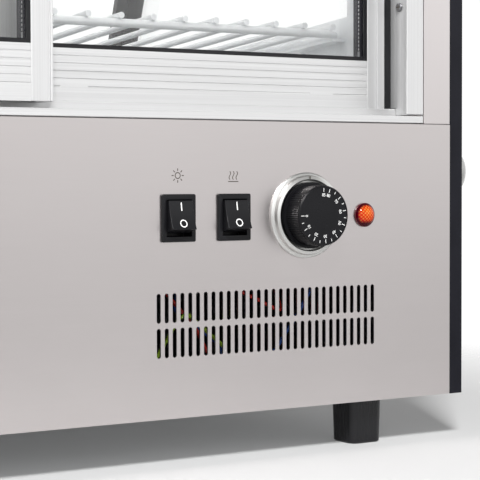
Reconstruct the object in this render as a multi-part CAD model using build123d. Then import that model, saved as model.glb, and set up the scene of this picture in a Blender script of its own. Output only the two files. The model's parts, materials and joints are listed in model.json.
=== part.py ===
from build123d import *
import os
from math import asin, cos, degrees, pi, radians, sin

# A countertop heated display case with a curved customer-side glass.
# X is the width, the operator's control panel and sliding doors face -Y, the customers' glass faces +Y,
# and Z = 0 is the surface that the feet stand on. Depths are measured from the control panel's face.
# All sizes are in millimetres, and angles are in degrees.

# Case
CASE_W = 678.0            # over both side panels
CASE_H = 688.0
CASE_D = 546.5            # control panel face to customer-side base face
FOOT_H = 32.0
BASE_H = 193.5            # control panel's height
PANEL_FOLD = 10.0         # depth of the panel's folded edges
PAN_EDGE = 24.0           # height of the bottom tray's upstands along its length
DECK_FOLD = 24.0
SIDE_T = 11.0
SHEET = 1.2
FIT_GAP = 0.3             # between neighbouring sheet and glass parts
COVER_H = 46.0            # canopy

# Curved glass, in the plane of depth and height
GLASS_T = 5.0
GLASS_LIP = 1.8           # side panel's edge stands this far out past the glass
LEDGE_D = 21.5            # base face to the glass's foot
LEAN_FOOT = 15.5          # lean from the vertical at the base
LEAN_KNEE = 27.0          # lean where the tight top bend starts
KNEE_R = 215.0
LEDGE_DROP = 19.0         # height of the sloping ledge under the glass
TRIM_W = 12.0
TRIM_T = 6.0
TRIM_BOND = 0.1           # between the trim and the curved glass
BEAD_H = 10.0             # rubber bead along the glass's foot
SEAT_IN = 15.0            # seat under the glass, inward of its foot
COVER_LAP = 16.0          # roof over the glass's upper edge
COVER_BACK = 3.0          # canopy's front wall behind the glass's upper edge

# Side panel's window
BORDER_REAR = 58.0
BORDER_FRONT = 29.0
BORDER_TOP = 30.0
BORDER_FLOOR = 16.0       # above the deck
REBATE = 8.0
PANE_T = 4.0

# Cover caps on the side panels' fixing bolts
CAP_R = 21.5
CAP_OUT = 15.5
CAP_EDGE = 22.2           # from the panel's rear edge
CAP_DROP = 33.5           # below the base's top
BOLT_R = 4.0
NUT_H = 3.2

# Knob, bezel and shaft of the thermostat
DIAL_IN = 126.4           # from the panel's right edge
DIAL_DROP = 63.0          # below the panel's upper edge
KNOB_OUT = 21.5           # knob's face from the panel
KNOB_R = 20.4
KNOB_BASE = 3.5
SKIRT_R = 22.4
SKIRT_H = 3.0
KNURLS = 90
KNURL_DEPTH = 0.4
KNOB_CAP_H = 1.6          # plain face beyond the knurls
KNOB_EDGE = 0.5
DIAL_RIM = 0.5            # raised rim round the sunk dial
DIAL_SUNK = 0.25
BEZEL_R = 29.0
BEZEL_IN_R = 23.6
BEZEL_H = 5.5
SHAFT_R = 3.0
SHAFT_OUT = 14.0          # shaft's end from the panel's face
RUN_GAP = 0.05            # running clearance of shafts and pins
BUSH_R = 5.0
STAT_W = 44.0
STAT_D = 30.0

# Rocker switches
SWITCH_IN = (227.1, 184.5)   # from the panel's right edge
SWITCH_DROP = 63.5        # below the panel's upper edge, lamp included
SWITCH_W = 25.4
SWITCH_H = 31.0
SWITCH_RIM = 2.0          # bezel's height above the panel
SWITCH_BODY_W = 21.6
SWITCH_BODY_H = 27.6
SWITCH_BODY_D = 21.0
ROCKER_W = 18.0
ROCKER_H = 19.3
ROCKER_GAP = 2.35         # above and below the rocker in its tub
ROCKER_SIDE_GAP = 0.5
ROCKER_TILT = 15.0        # either way from level
ROCKER_RISE = 8.4         # rocker's tips in front of its pivot
ROCKER_DISH = 0.8
ROCKER_BACK = 1.5         # rocker's ends reach this far behind its pivot
ROCKER_HUB = 6.0          # rocker's back behind its pivot
ROCKER_EDGE = 0.4         # rounding of the pressed face
HUB_H = 3.0               # half of the hub's height
PIVOT_D = 1.5             # pivot behind the panel's face
PIVOT_R = 1.2
PIVOT_L = 1.3             # pins' reach beyond the rocker's sides, including their gap
SPADE_W = 4.8
SPADE_T = 0.8
SPADE_L = 8.0
TAB_PITCH = 7.0           # rear tabs either way from the switch's middle

# Indicator lamp
LENS_IN = 77.0            # from the panel's right edge
LENS_R = 8.0
LENS_BASE = 1.2           # collar under the lens
LENS_OUT = 5.5
LAMP_BODY_R = 5.0
LAMP_BODY_D = 22.0

# Ventilation slots
SLOT_COUNT = 30
SLOT_PITCH = 5.93
SLOT_W = 3.0
SLOT_H = 19.2
SLOT_IN = 155.7           # middle of the field from the panel's right edge
SLOT_DROP = 121.6         # upper row's middle below the panel's upper edge
SLOT_ROW_PITCH = 22.6

# Feet
FOOT_SIDE = 75.0          # foot's middle from the case's side
FOOT_INSET = 26.7
FOOT_TOP_W = 27.8
FOOT_TIP_W = 26.3
FOOT_CORNER = 6.0
FLUTES = 5
FLUTE_R = 1.1
FOOT_CHAMFER = 1.0
FOOT_BAND = 3.0           # plain band below the flutes

# Door frame and tracks
PILLAR_W = 23.7
PILLAR_D = 46.0
JAMB_FLANGE = 15.0        # operator-side flange's width
JAMB_STEP = 7.0           # closing web's distance from the pillar
TRACK_LIP_D = 0.5
TRACK_LIP_H = 5.7         # above the deck, as are the fin and the rails
TRACK_T = 1.5
TRACK_GAP = 0.8           # shadow gap over the control panel
TRACK_END_GAP = 1.0       # behind the inner door
FIN_H = 11.5
RAIL_H = 6.0
RAIL_T = 2.0
SILL_FLOOR = 2.0
HEAD_H = 22.0

# Sliding doors
DOOR_FACE_D = 4.0         # outer door's face
DOOR_SIDE_GAP = 2.75      # between a door and the middle fin
DOOR_LIFT = 3.9           # above the running rails
DOOR_LAP = 14.0           # meeting stile's reach past the middle
DOOR_SHUT_GAP = 0.6       # between the closing strip and the jamb
DOOR_ENTRY = 14.0         # how far the top rail stands inside the head track
STILE_W = 15.0
STILE_LIP = 1.8           # meeting stile's proud edge
JAMB_LIP = 6.4            # jamb-side stile's proud edge
LIP_RISE = 0.4
LIP_GROOVE_W = 0.9
LIP_GROOVE_D = 1.2        # from the lip's face
STILE_BACK = 1.5          # stile's wall behind the inner pane
GLAZING_DEEP = 5.0        # rebate that holds the panes
BOTTOM_RAIL_H = 35.6
TOP_RAIL_H = 24.0
RAIL_SET_BACK = 0.6       # rail's faces behind the stile's
RAIL_WALL = 1.6
GROOVE_PITCH = 4.9
GROOVE_COUNT = 5
GROOVE_W = 1.0
GROOVE_DEEP = 0.4
SEAL_W = 6.2
SEAL_T = 9.0
BEAD_W = 2.8
DOOR_PANE_T = 3.0
INNER_PANE_T = 2.4
PANE_SET_BACK = 2.0       # outer pane's face behind the door's
PANE_TUCK = 3.5           # how far the panes stand in their rebates
SPACER_T = 8.0
SPACER_W = 6.0
SPACER_TUCK = 3.0
PANE_BACK_GAP = 0.1
BEAD_SET_BACK = 0.8
ROLLER_R = 6.0
ROLLER_W = 5.0
ROLLER_GROOVE = 1.0
ROLLER_INSET = 40.0
AXLE_R = 1.5
ROLLER_RIDE = 0.1         # roller over its rail
CHEEK_GAP = 0.4           # roller's side clearance
CHEEK_W = 12.0
FORK_GAP = 1.8            # over the roller
FORK_H = 7.0
FORK_W = 20.0

# Wire shelves
SHELF_COUNT = 3
SHELF_SLOT = 1            # upright slot of the lowest shelf's lower hooks
SHELF_STEP = 4            # upright slots from shelf to shelf
SHELF_STANDOFF = 15.0     # behind the uprights
SHELF_GLASS_GAP = 21.0
SHELF_TILT = 4.5
SHELF_SIDE = 37.7         # rim's middle from the side panel
RIM_R = 3.0
ROD_R = 2.2
ROD_PITCH = 25.4
ROD_MARGIN = 10.0         # least distance from the end rods to the rim's ends
ROD_OVERHANG = 5.0
RIM_CORNER = 14.0
CROSS_BARS = 2
ARM_T = 2.0
ARM_RISE = 13.0           # arm's flange above the rim wire
ARM_LEDGE = 12.0
ARM_DROP = 26.0           # arm's deep end below the rim wire
HOOK_H = 8.0
HOOK_T = 2.2
HOOK_TAIL = 4.0           # behind the upright, below the slot
HOOK_LEVEL = 26.5         # lower slot's lower end below the rim wire
UPRIGHT_W = 20.0
UPRIGHT_D = 16.0
UPRIGHT_T = 1.5
UPRIGHT_SLOT_H = 15.0
UPRIGHT_FIRST = 15.0      # lowest slot's lower end above the deck
UPRIGHT_PITCH = 27.0
UPRIGHT_GAP = 1.5         # behind the track

# Heater and deck
WELL_W = 380.0
WELL_L = 200.0
WELL_D = 270.0            # middle of the well
WELL_H = 46.0
WELL_FLANGE = 15.0
ELEMENT_R = 4.0
ELEMENT_PASSES = 3
ELEMENT_PITCH = 45.0
ELEMENT_LIFT = 16.0       # element's middle above the well's floor
CLIP_INSET = 60.0         # from the well's end to each row of clips
CLIP_W = 14.0
CLIP_T = 6.0
ELEMENT_BEND = 14.0
ELEMENT_COLD = 22.0       # element's ends outside the well
ELEMENT_TURN = 18.0       # from the well's wall to the element's turns
GRILLE_LAP = 12.0
GRILLE_T = 1.5
GRILLE_PITCH = 27.1
GRILLE_SLOT_W = 6.0
GRILLE_WEB = 12.0         # solid strip at each end of a row

# Lamp
TUBE_R = 8.0
LAMP_SIDE = 33.7          # holder's end from the side panel
LAMP_DEPTH = 150.0
SOCKET_L = 14.0
SOCKET_W = 18.0
SOCKET_H = 26.0
TUBE_DROP = 14.0          # tube's middle below the ceiling
REFLECTOR_T = 2.0
REFLECTOR_H = 12.0
REFLECTOR_FLARE = 4.0
REFLECTOR_MARGIN = 7.0    # reflector beyond the tube on each side

# Wiring and cord inlet
WIRE_R = 1.3
WIRE_BEND = 6.0
BLOCK_IN = 151.7          # from the panel's right edge
BLOCK_D = 78.0
BLOCK_POLES = 5
BLOCK_PITCH = 11.0
BLOCK_H = 10.0
POLE_H = 7.0
POLE_D = 16.0
BULB_R = 3.0
BULB_L = 80.0
CAPILLARY_R = 0.9
GLAND_IN = 65.7           # from the panel's left edge
GLAND_RISE = 42.0         # above the panel's lower edge
GLAND_BORE = 4.2
GLAND_R = 9.0
GLAND_RIM = 2.0
GLAND_OUT = 4.0
GLAND_NUT_H = 4.0
GLAND_DEEP = 14.0

# Fasteners
SCREW_R = 3.2
SCREW_HEAD_H = 1.6
SCREW_RISE = 84.0         # lower screw above the deck
SCREW_DROP = 58.0         # upper screw below the head track
SCREW_D = 19.0

# Derived places
REAR = -(CASE_D + KNOB_OUT) / 2 + KNOB_OUT
INNER_X = CASE_W / 2 - SIDE_T
SHEET_X = INNER_X - FIT_GAP
BASE_TOP = FOOT_H + BASE_H
COVER_Z = CASE_H - COVER_H
CEILING_Z = COVER_Z - SHEET
GLASS_TOP = CASE_H - GLASS_LIP
GLASS_FOOT_D = CASE_D - LEDGE_D
SEAT_D = GLASS_FOOT_D - SEAT_IN
CAP_Z = BASE_TOP - CAP_DROP
DIAL_X = SHEET_X - DIAL_IN
DIAL_Z = BASE_TOP - DIAL_DROP
SWITCH_X = tuple(SHEET_X - inset for inset in SWITCH_IN)
SWITCH_Z = BASE_TOP - SWITCH_DROP
LENS_X = SHEET_X - LENS_IN
SLOT_X = SHEET_X - SLOT_IN
SLOT_ROWS = (BASE_TOP - SLOT_DROP, BASE_TOP - SLOT_DROP - SLOT_ROW_PITCH)
FOOT_X = CASE_W / 2 - FOOT_SIDE
BLOCK_X = SHEET_X - BLOCK_IN
GLAND_X = GLAND_IN - SHEET_X
GLAND_Z = FOOT_H + GLAND_RISE
PILLAR_X = SHEET_X - PILLAR_W
JAMB_WEB = PILLAR_X - JAMB_STEP
DOOR_EDGE = JAMB_WEB - DOOR_SHUT_GAP - SEAL_W
GLAZING_T = DOOR_PANE_T + SPACER_T + INNER_PANE_T
DOOR_T = PANE_SET_BACK + GLAZING_T + PANE_BACK_GAP + STILE_BACK
FIN_D = DOOR_FACE_D + DOOR_T + DOOR_SIDE_GAP
DOOR_D = (DOOR_FACE_D, FIN_D + TRACK_T + DOOR_SIDE_GAP)
TRACK_D = DOOR_D[1] + DOOR_T + TRACK_END_GAP + TRACK_T
RAIL_TOP = BASE_TOP + RAIL_H
DOOR_Z = RAIL_TOP + DOOR_LIFT
DOOR_TOP = COVER_Z - HEAD_H + DOOR_ENTRY
UPRIGHT_FACE = TRACK_D + UPRIGHT_GAP + UPRIGHT_D
SHELF_START = UPRIGHT_FACE + SHELF_STANDOFF
SHELF_W = 2 * (SHEET_X - SHELF_SIDE)
ARM_X = SHELF_W / 2 + RIM_R + FIT_GAP
ELEMENT_Z = BASE_TOP - SHEET - WELL_H + ELEMENT_LIFT


def side_plane(x):
    """Plane across the case at x, with depth as its first axis and height as its second."""
    return Plane(origin=(x, REAR, 0), x_dir=(0, 1, 0), z_dir=(1, 0, 0))


def front_plane(depth, x=0.0, z=0.0):
    """Plane facing the operator at a depth, with X and height as its axes."""
    return Plane(origin=(x, REAR + depth, z), x_dir=(1, 0, 0), z_dir=(0, -1, 0))


def level_plane(z):
    """Level plane at a height, with X and depth as its axes."""
    return Plane(origin=(0, REAR, z), x_dir=(1, 0, 0), z_dir=(0, 0, 1))


def block(x, depth, z):
    """Box between pairs of X, depth and height."""
    base = Box(x[1] - x[0], depth[1] - depth[0], z[1] - z[0], align=(Align.MIN, Align.MIN, Align.MIN))
    return Pos(x[0], REAR + depth[0], z[0]) * base


def across(outline, x0, x1):
    """Solid with this outline in depth and height, from x0 to x1."""
    return extrude(side_plane(x0) * outline, x1 - x0)


def polygon(*points):
    return make_face(Polyline(*points, close=True))


def both_sides(shape):
    return [shape, mirror(shape, about=Plane.YZ)]


def save(name, *shapes):
    solids = [solid for shape in shapes for solid in shape.solids()]
    export_step(solids[0] if len(solids) == 1 else Compound(solids), f"parts/{name}.step")


# The glass line: a long shallow bend that starts at the ledge, then the tight top bend.
def bend_sizes():
    """Centres and radii of the two bends of the glass's outer face."""
    foot_z = BASE_TOP + FIT_GAP + GLASS_T * sin(radians(LEAN_FOOT))
    tight_rise = KNEE_R * (1 - sin(radians(LEAN_KNEE)))
    long_rise = GLASS_TOP - tight_rise - foot_z
    long_r = long_rise / (sin(radians(LEAN_KNEE)) - sin(radians(LEAN_FOOT)))
    long_centre = (
        GLASS_FOOT_D - long_r * cos(radians(LEAN_FOOT)),
        foot_z - long_r * sin(radians(LEAN_FOOT)),
    )
    reach = long_r - KNEE_R
    tight_centre = (
        long_centre[0] + reach * cos(radians(LEAN_KNEE)),
        long_centre[1] + reach * sin(radians(LEAN_KNEE)),
    )
    return long_centre, long_r, tight_centre


LONG_CENTRE, LONG_R, TIGHT_CENTRE = bend_sizes()


def glass_point(lean, out=0.0):
    """Depth and height on the glass line where it leans this much, moved outward."""
    centre, radius = (LONG_CENTRE, LONG_R) if lean <= LEAN_KNEE else (TIGHT_CENTRE, KNEE_R)
    return (
        centre[0] + (radius + out) * cos(radians(lean)),
        centre[1] + (radius + out) * sin(radians(lean)),
    )


def glass_arcs(out, first=LEAN_FOOT, last=90.0):
    """The two tangent arcs of the glass line, moved outward, from one lean to another."""
    knee = glass_point(LEAN_KNEE, out)
    middle = glass_point((first + LEAN_KNEE) / 2, out)
    crown = glass_point((LEAN_KNEE + last) / 2, out)
    return [
        ThreePointArc(glass_point(first, out), middle, knee),
        ThreePointArc(knee, crown, glass_point(last, out)),
    ]


def lean_at(z, out=0.0):
    """Lean of the glass line where it crosses this height, below the knee."""
    return degrees(asin((z - LONG_CENTRE[1]) / (LONG_R + out)))


def glass_depth(z, out=0.0):
    """Depth of the glass line at a height below the knee."""
    return glass_point(lean_at(z, out), out)[0]


def glass_band(outer, inner, first=LEAN_FOOT, last=90.0):
    """Closed outline between two offsets of the glass line."""
    out_arcs = glass_arcs(outer, first, last)
    in_arcs = glass_arcs(inner, first, last)
    foot = Line(out_arcs[0] @ 0, in_arcs[0] @ 0)
    top = Line(out_arcs[1] @ 1, in_arcs[1] @ 1)
    return make_face([*out_arcs, *in_arcs, foot, top])


# Side panels
def side_outline():
    arcs = glass_arcs(GLASS_LIP)
    ledge = arcs[0] @ 0
    crest = arcs[1] @ 1
    walls = Polyline(
        (crest.X, crest.Y),
        (0, CASE_H),
        (0, FOOT_H),
        (CASE_D, FOOT_H),
        (CASE_D, BASE_TOP - LEDGE_DROP),
        (ledge.X, ledge.Y),
    )
    return make_face([*arcs, *walls.edges()])


def window_face(grow=0.0):
    """See-through field of the side panel, or the rebate round it."""
    floor = BASE_TOP + BORDER_FLOOR - grow
    rear = BORDER_REAR - grow
    top = CASE_H - BORDER_TOP + grow
    inset = GLASS_LIP - BORDER_FRONT + grow
    low_lean = lean_at(floor, inset)
    high_lean = degrees(asin((top - TIGHT_CENTRE[1]) / (KNEE_R + inset)))
    arcs = glass_arcs(inset, low_lean, high_lean)
    low = arcs[0] @ 0
    high = arcs[1] @ 1
    walls = Polyline((high.X, high.Y), (rear, top), (rear, floor), (low.X, low.Y))
    return make_face([*arcs, *walls.edges()])


def side_panel():
    outer_x = CASE_W / 2
    panel = across(side_outline(), INNER_X, outer_x)
    panel -= across(window_face(), INNER_X, outer_x)
    panel -= across(window_face(REBATE), INNER_X, INNER_X + PANE_T)
    panel -= across(window_face(REBATE), outer_x - PANE_T, outer_x)
    for depth in cap_depths():
        panel -= Pos(INNER_X, REAR + depth, CAP_Z) * Rot(0, 90, 0) * Cylinder(BOLT_R + RUN_GAP, 4 * SIDE_T)
    return panel


def side_panes():
    field = window_face(REBATE - FIT_GAP)
    outer_x = CASE_W / 2
    return across(field, INNER_X, INNER_X + PANE_T), across(field, outer_x - PANE_T, outer_x)


def cap_depths():
    return CAP_EDGE, CASE_D - CAP_EDGE - CAP_R


def cap_bolt(depth):
    """Domed cap on the head of a bolt that holds the side panel to the base, and the bolt's nut."""
    ball_r = (CAP_R ** 2 + CAP_OUT ** 2) / (2 * CAP_OUT)
    half_turn = asin(CAP_R / ball_r) / 2
    shoulder = (ball_r * sin(half_turn), CAP_OUT - ball_r + ball_r * cos(half_turn))
    clamped = SIDE_T + FIT_GAP + SHEET
    shank_l = clamped + NUT_H
    section = make_face(
        [
            ThreePointArc((CAP_R, 0), shoulder, (0, CAP_OUT)),
            *Polyline((0, CAP_OUT), (0, -shank_l), (BOLT_R, -shank_l), (BOLT_R, 0), (CAP_R, 0)).edges(),
        ]
    )
    bolt = revolve(Plane.XZ * section, Axis.Z)
    nut = RegularPolygon(2 * BOLT_R, 6) - Circle(BOLT_R + RUN_GAP)
    nut = Pos(0, 0, -clamped) * extrude(nut, -NUT_H)
    place = Pos(CASE_W / 2, REAR + depth, CAP_Z) * Rot(0, 90, 0)
    return [place * bolt, place * nut]


# Customer-side glass
def front_glass():
    half = INNER_X - FIT_GAP
    return across(glass_band(0, -GLASS_T), -half, half)


def front_glass_trim():
    """Black corner strips inside the glass, and the channel that its foot stands in."""
    outer = -GLASS_T - TRIM_BOND
    first = lean_at(BASE_TOP + FIT_GAP, outer - TRIM_T)
    strip = across(glass_band(outer, outer - TRIM_T, first, 88.0), SHEET_X - TRIM_W, SHEET_X)
    low = BASE_TOP + FIT_GAP
    high = low + BEAD_H
    seat = glass_depth(low, outer)
    bead = polygon((seat - TRIM_T, BASE_TOP), (seat, BASE_TOP), (glass_depth(high, outer), high))
    half = SHEET_X - TRIM_W
    return [*both_sides(strip), across(bead, -half, half)]


# Base
def front_panel():
    """Customer-side base face, bent back into the sloping ledge and the seat under the glass."""
    bend_z = BASE_TOP - LEDGE_DROP
    crest = glass_point(LEAN_FOOT, GLASS_LIP)[0]
    outline = polygon(
        (CASE_D, FOOT_H),
        (CASE_D, bend_z),
        (crest, BASE_TOP),
        (SEAT_D, BASE_TOP),
        (SEAT_D, BASE_TOP - SHEET),
        (crest - SHEET / 2, BASE_TOP - SHEET),
        (CASE_D - SHEET, bend_z - SHEET / 2),
        (CASE_D - SHEET, FOOT_H),
    )
    return across(outline, -SHEET_X, SHEET_X)


def slots():
    """Two rows of upright round-ended slots."""
    slot = SlotOverall(SLOT_H, SLOT_W, rotation=90)
    first = SLOT_X - (SLOT_COUNT - 1) / 2 * SLOT_PITCH
    return [Pos(first + i * SLOT_PITCH, row_z) * slot for row_z in SLOT_ROWS for i in range(SLOT_COUNT)]


def control_panel():
    """Brushed operator-side panel with folded side and top returns."""
    face = Pos(0, FOOT_H + BASE_H / 2) * Rectangle(2 * SHEET_X, BASE_H)
    openings = slots()
    cutout = Rectangle(SWITCH_BODY_W + 2 * FIT_GAP, SWITCH_BODY_H + 2 * FIT_GAP)
    openings += [Pos(x, SWITCH_Z) * cutout for x in SWITCH_X]
    openings.append(Pos(DIAL_X, DIAL_Z) * Circle(BUSH_R + FIT_GAP))
    openings.append(Pos(LENS_X, SWITCH_Z) * Circle(LAMP_BODY_R + FIT_GAP))
    openings.append(Pos(GLAND_X, GLAND_Z) * Circle(GLAND_R - GLAND_RIM))
    panel = extrude(front_plane(SHEET) * (face - openings), SHEET)
    for x in (-SHEET_X, SHEET_X - SHEET):
        panel += block((x, x + SHEET), (SHEET, PANEL_FOLD), (FOOT_H, BASE_TOP))
    panel += block((-SHEET_X, SHEET_X), (SHEET, PANEL_FOLD), (BASE_TOP - SHEET, BASE_TOP))
    return panel


def base_pan():
    """Bottom tray with low upstands along its length and side walls that carry the panels' bolts."""
    edge = PANEL_FOLD + FIT_GAP
    floor_z = (FOOT_H, FOOT_H + SHEET)
    wall_z = (FOOT_H, FOOT_H + PAN_EDGE)
    side_z = (FOOT_H, BASE_TOP - DECK_FOLD - FIT_GAP)
    rear = SHEET + FIT_GAP
    front = CASE_D - SHEET - FIT_GAP
    half = SHEET_X - SHEET - FIT_GAP
    pan = block((-half, half), (rear, front), floor_z)
    pan += block((-half, half), (rear, rear + SHEET), wall_z)
    pan += block((-half, half), (front - SHEET, front), wall_z)
    for x in (-SHEET_X, SHEET_X - SHEET):
        pan += block((x, x + SHEET), (edge, front), side_z)
    pan += block((-SHEET_X, SHEET_X), (edge, front), floor_z)
    for depth in cap_depths():
        pan -= Pos(0, REAR + depth, CAP_Z) * Rot(0, 90, 0) * Cylinder(BOLT_R + RUN_GAP, 2 * CASE_W)
    return pan


def deck():
    """Floor of the heated chamber, with down-turned edges and the heater well's opening."""
    edge = PANEL_FOLD + FIT_GAP
    front = SEAT_D - FIT_GAP
    fold = DECK_FOLD
    plate = block((-SHEET_X, SHEET_X), (edge, front), (BASE_TOP - SHEET, BASE_TOP))
    for x in (-SHEET_X, SHEET_X - SHEET):
        plate += block((x, x + SHEET), (edge, front), (BASE_TOP - fold, BASE_TOP))
    well = Pos(0, WELL_D) * Rectangle(WELL_W, WELL_L)
    plate -= extrude(level_plane(BASE_TOP - fold / 2) * well, fold)
    return plate


def heater_box():
    """Tray that hangs under the deck's opening: a folded channel, two end plates and two rows of clips."""
    top = BASE_TOP - SHEET
    floor = top - WELL_H
    half_w = WELL_W / 2
    half_l = WELL_L / 2
    rim_x = half_w + WELL_FLANGE
    channel = block((-half_w, half_w), (WELL_D - half_l, WELL_D + half_l), (floor, floor + SHEET))
    between = (WELL_D - half_l + SHEET, WELL_D + half_l - SHEET)
    ends = []
    for side in (-1, 1):
        wall = sorted((WELL_D + side * half_l, WELL_D + side * (half_l - SHEET)))
        rim = sorted((WELL_D + side * (half_l + WELL_FLANGE), WELL_D + side * (half_l - SHEET)))
        channel += block((-half_w, half_w), wall, (floor, top))
        channel += block((-rim_x, rim_x), rim, (top - SHEET, top))
        wall = sorted((side * half_w, side * (half_w - SHEET)))
        rim = sorted((side * rim_x, side * (half_w - SHEET)))
        ends.append(block(wall, between, (floor + SHEET, top)) + block(rim, between, (top - SHEET, top)))
    for i in (0, ELEMENT_PASSES):
        ends[1] -= Pos(half_w, REAR + element_depth(i), ELEMENT_Z) * element_hole()
    rows = [clip_row(x, floor + SHEET) for x in (CLIP_INSET - half_w, half_w - CLIP_INSET)]
    return [channel, *ends, *rows]


def element_hole():
    return Rot(0, 90, 0) * Cylinder(ELEMENT_R + RUN_GAP, 2 * CLIP_T)


def clip_row(x, low):
    """Strip on the well's floor with a notched clip for each pass of the element."""
    ends = (element_depth(0) - CLIP_W / 2, element_depth(ELEMENT_PASSES) + CLIP_W / 2)
    row = block((x - CLIP_T / 2, x + CLIP_T / 2), ends, (low, low + SHEET))
    for i in range(ELEMENT_PASSES + 1):
        depth = element_depth(i)
        clip = block(
            (x - CLIP_T / 2, x + CLIP_T / 2),
            (depth - CLIP_W / 2, depth + CLIP_W / 2),
            (low, ELEMENT_Z),
        )
        row += clip - Pos(x, REAR + depth, ELEMENT_Z) * element_hole()
    return row


def element_depth(i):
    """Depth of each straight pass of the tubular element."""
    return WELL_D + (i - ELEMENT_PASSES / 2) * ELEMENT_PITCH


def heating_element():
    """Tubular element that runs to and fro in the well, with both ends out of its right wall."""
    end_x = WELL_W / 2 + ELEMENT_COLD
    turn_x = WELL_W / 2 - ELEMENT_TURN
    points = [(end_x, REAR + element_depth(0), ELEMENT_Z)]
    side = -1
    for i in range(ELEMENT_PASSES):
        points.append((side * turn_x, REAR + element_depth(i), ELEMENT_Z))
        points.append((side * turn_x, REAR + element_depth(i + 1), ELEMENT_Z))
        side = -side
    points.append((end_x, REAR + element_depth(ELEMENT_PASSES), ELEMENT_Z))
    return round_tube(points, ELEMENT_R, ELEMENT_BEND)


def round_tube(points, radius, bend):
    """Tube along straight runs joined by tangent arcs."""
    path = FilletPolyline(*points, radius=bend) if len(points) > 2 else Line(*points)
    start = Plane(origin=path @ 0, z_dir=path % 0)
    return sweep(start * Circle(radius), path=path)


def deck_grille():
    """Lift-out slotted plate over the heater well."""
    plate = Pos(0, WELL_D) * Rectangle(WELL_W + 2 * GRILLE_LAP, WELL_L + 2 * GRILLE_LAP)
    count = int(WELL_W // GRILLE_PITCH)
    slot = Rectangle(GRILLE_SLOT_W, WELL_L / 2 - 2 * GRILLE_WEB)
    for row in (-1, 1):
        for i in range(count):
            x = (i - (count - 1) / 2) * GRILLE_PITCH
            plate -= Pos(x, WELL_D + row * WELL_L / 4) * slot
    return extrude(level_plane(BASE_TOP) * plate, GRILLE_T)


def foot():
    """Tapered square foot with rounded corners and upright flutes."""
    tip = RectangleRounded(FOOT_TIP_W, FOOT_TIP_W, FOOT_CORNER)
    top = Pos(0, 0, FOOT_H) * RectangleRounded(FOOT_TOP_W, FOOT_TOP_W, FOOT_CORNER)
    body = loft([tip, top])
    body = chamfer(body.faces().sort_by(Axis.Z)[0].edges(), FOOT_CHAMFER)
    pitch = (FOOT_TIP_W - 2 * FOOT_CORNER) / (FLUTES - 1)
    lean = degrees(asin((FOOT_TOP_W - FOOT_TIP_W) / 2 / FOOT_H))
    reach = (FOOT_TOP_W + FOOT_TIP_W) / 4 + FLUTE_R / 2
    low = (Align.CENTER, Align.CENTER, Align.MIN)
    grooves = []
    for turn in range(4):
        for i in range(FLUTES):
            along = (i - (FLUTES - 1) / 2) * pitch
            flute = Pos(along, -reach, FOOT_BAND) * Rot(lean, 0, 0) * Cylinder(FLUTE_R, FOOT_H, align=low)
            grooves.append(Rot(0, 0, 90 * turn) * flute)
    return body - grooves


# Canopy and lamp
def top_cover():
    """Sheet canopy, open below, whose roof reaches out over the glass's upper edge."""
    crest_depth = TIGHT_CENTRE[0]
    front = crest_depth - COVER_BACK
    roof = GLASS_LIP - FIT_GAP
    shell = block((-SHEET_X, SHEET_X), (0, front), (COVER_Z, CASE_H))
    shell -= block(
        (-SHEET_X + SHEET, SHEET_X - SHEET),
        (SHEET, front - SHEET),
        (COVER_Z - SHEET, CASE_H - roof),
    )
    shell += block((-SHEET_X, SHEET_X), (front - SHEET, crest_depth + COVER_LAP), (CASE_H - roof, CASE_H))
    return shell


def ceiling_pan():
    """Chamber's ceiling under the canopy, behind the head track."""
    front = TIGHT_CENTRE[0] - COVER_BACK
    return block((-SHEET_X, SHEET_X), (TRACK_D + UPRIGHT_GAP, front), (CEILING_Z, COVER_Z))


def tube_half():
    """Half of the lamp tube's length, between the faces of its sockets."""
    return SHEET_X - LAMP_SIDE - SOCKET_L


def lamp_holder():
    """White reflector channel with flared wings and a socket block at each end."""
    half = tube_half() + SOCKET_L
    wing = TUBE_R + REFLECTOR_MARGIN
    left = [
        (LAMP_DEPTH - wing, CEILING_Z),
        (LAMP_DEPTH - wing - REFLECTOR_FLARE, CEILING_Z - REFLECTOR_H),
        (LAMP_DEPTH - wing - REFLECTOR_FLARE + REFLECTOR_T, CEILING_Z - REFLECTOR_H),
        (LAMP_DEPTH - wing + REFLECTOR_T, CEILING_Z - REFLECTOR_T),
    ]
    right = [(2 * LAMP_DEPTH - depth, z) for depth, z in reversed(left)]
    holder = across(polygon(*left, *right), -half, half)
    socket_depths = (LAMP_DEPTH - SOCKET_W / 2, LAMP_DEPTH + SOCKET_W / 2)
    for x in (-half, half - SOCKET_L):
        holder += block((x, x + SOCKET_L), socket_depths, (CEILING_Z - SOCKET_H, CEILING_Z - REFLECTOR_T / 2))
    return holder


def lamp_tube():
    place = Pos(0, REAR + LAMP_DEPTH, CEILING_Z - TUBE_DROP) * Rot(0, 90, 0)
    return place * Cylinder(TUBE_R, 2 * tube_half())


# Thermostat
def thermostat_body():
    """Control box behind the panel with the threaded bush that the shaft turns in."""
    here = front_plane(SHEET, DIAL_X, DIAL_Z)
    box = here * Pos(0, 0, -STAT_D / 2) * Box(STAT_W, STAT_W, STAT_D)
    box += here * Cylinder(BUSH_R, 2 * KNOB_BASE, align=(Align.CENTER, Align.CENTER, Align.CENTER))
    for side in (-1, 1):
        tab_z = DIAL_Z + side * STAT_W / 4
        box += block(
            (DIAL_X - SPADE_W / 2, DIAL_X + SPADE_W / 2),
            (SHEET + STAT_D, SHEET + STAT_D + SPADE_L),
            (tab_z - SPADE_T / 2, tab_z + SPADE_T / 2),
        )
    bore_l = STAT_D + 2 * KNOB_BASE
    box -= here * Pos(0, 0, KNOB_BASE) * Cylinder(
        SHAFT_R + RUN_GAP, bore_l, align=(Align.CENTER, Align.CENTER, Align.CENTER)
    )
    return box


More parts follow.
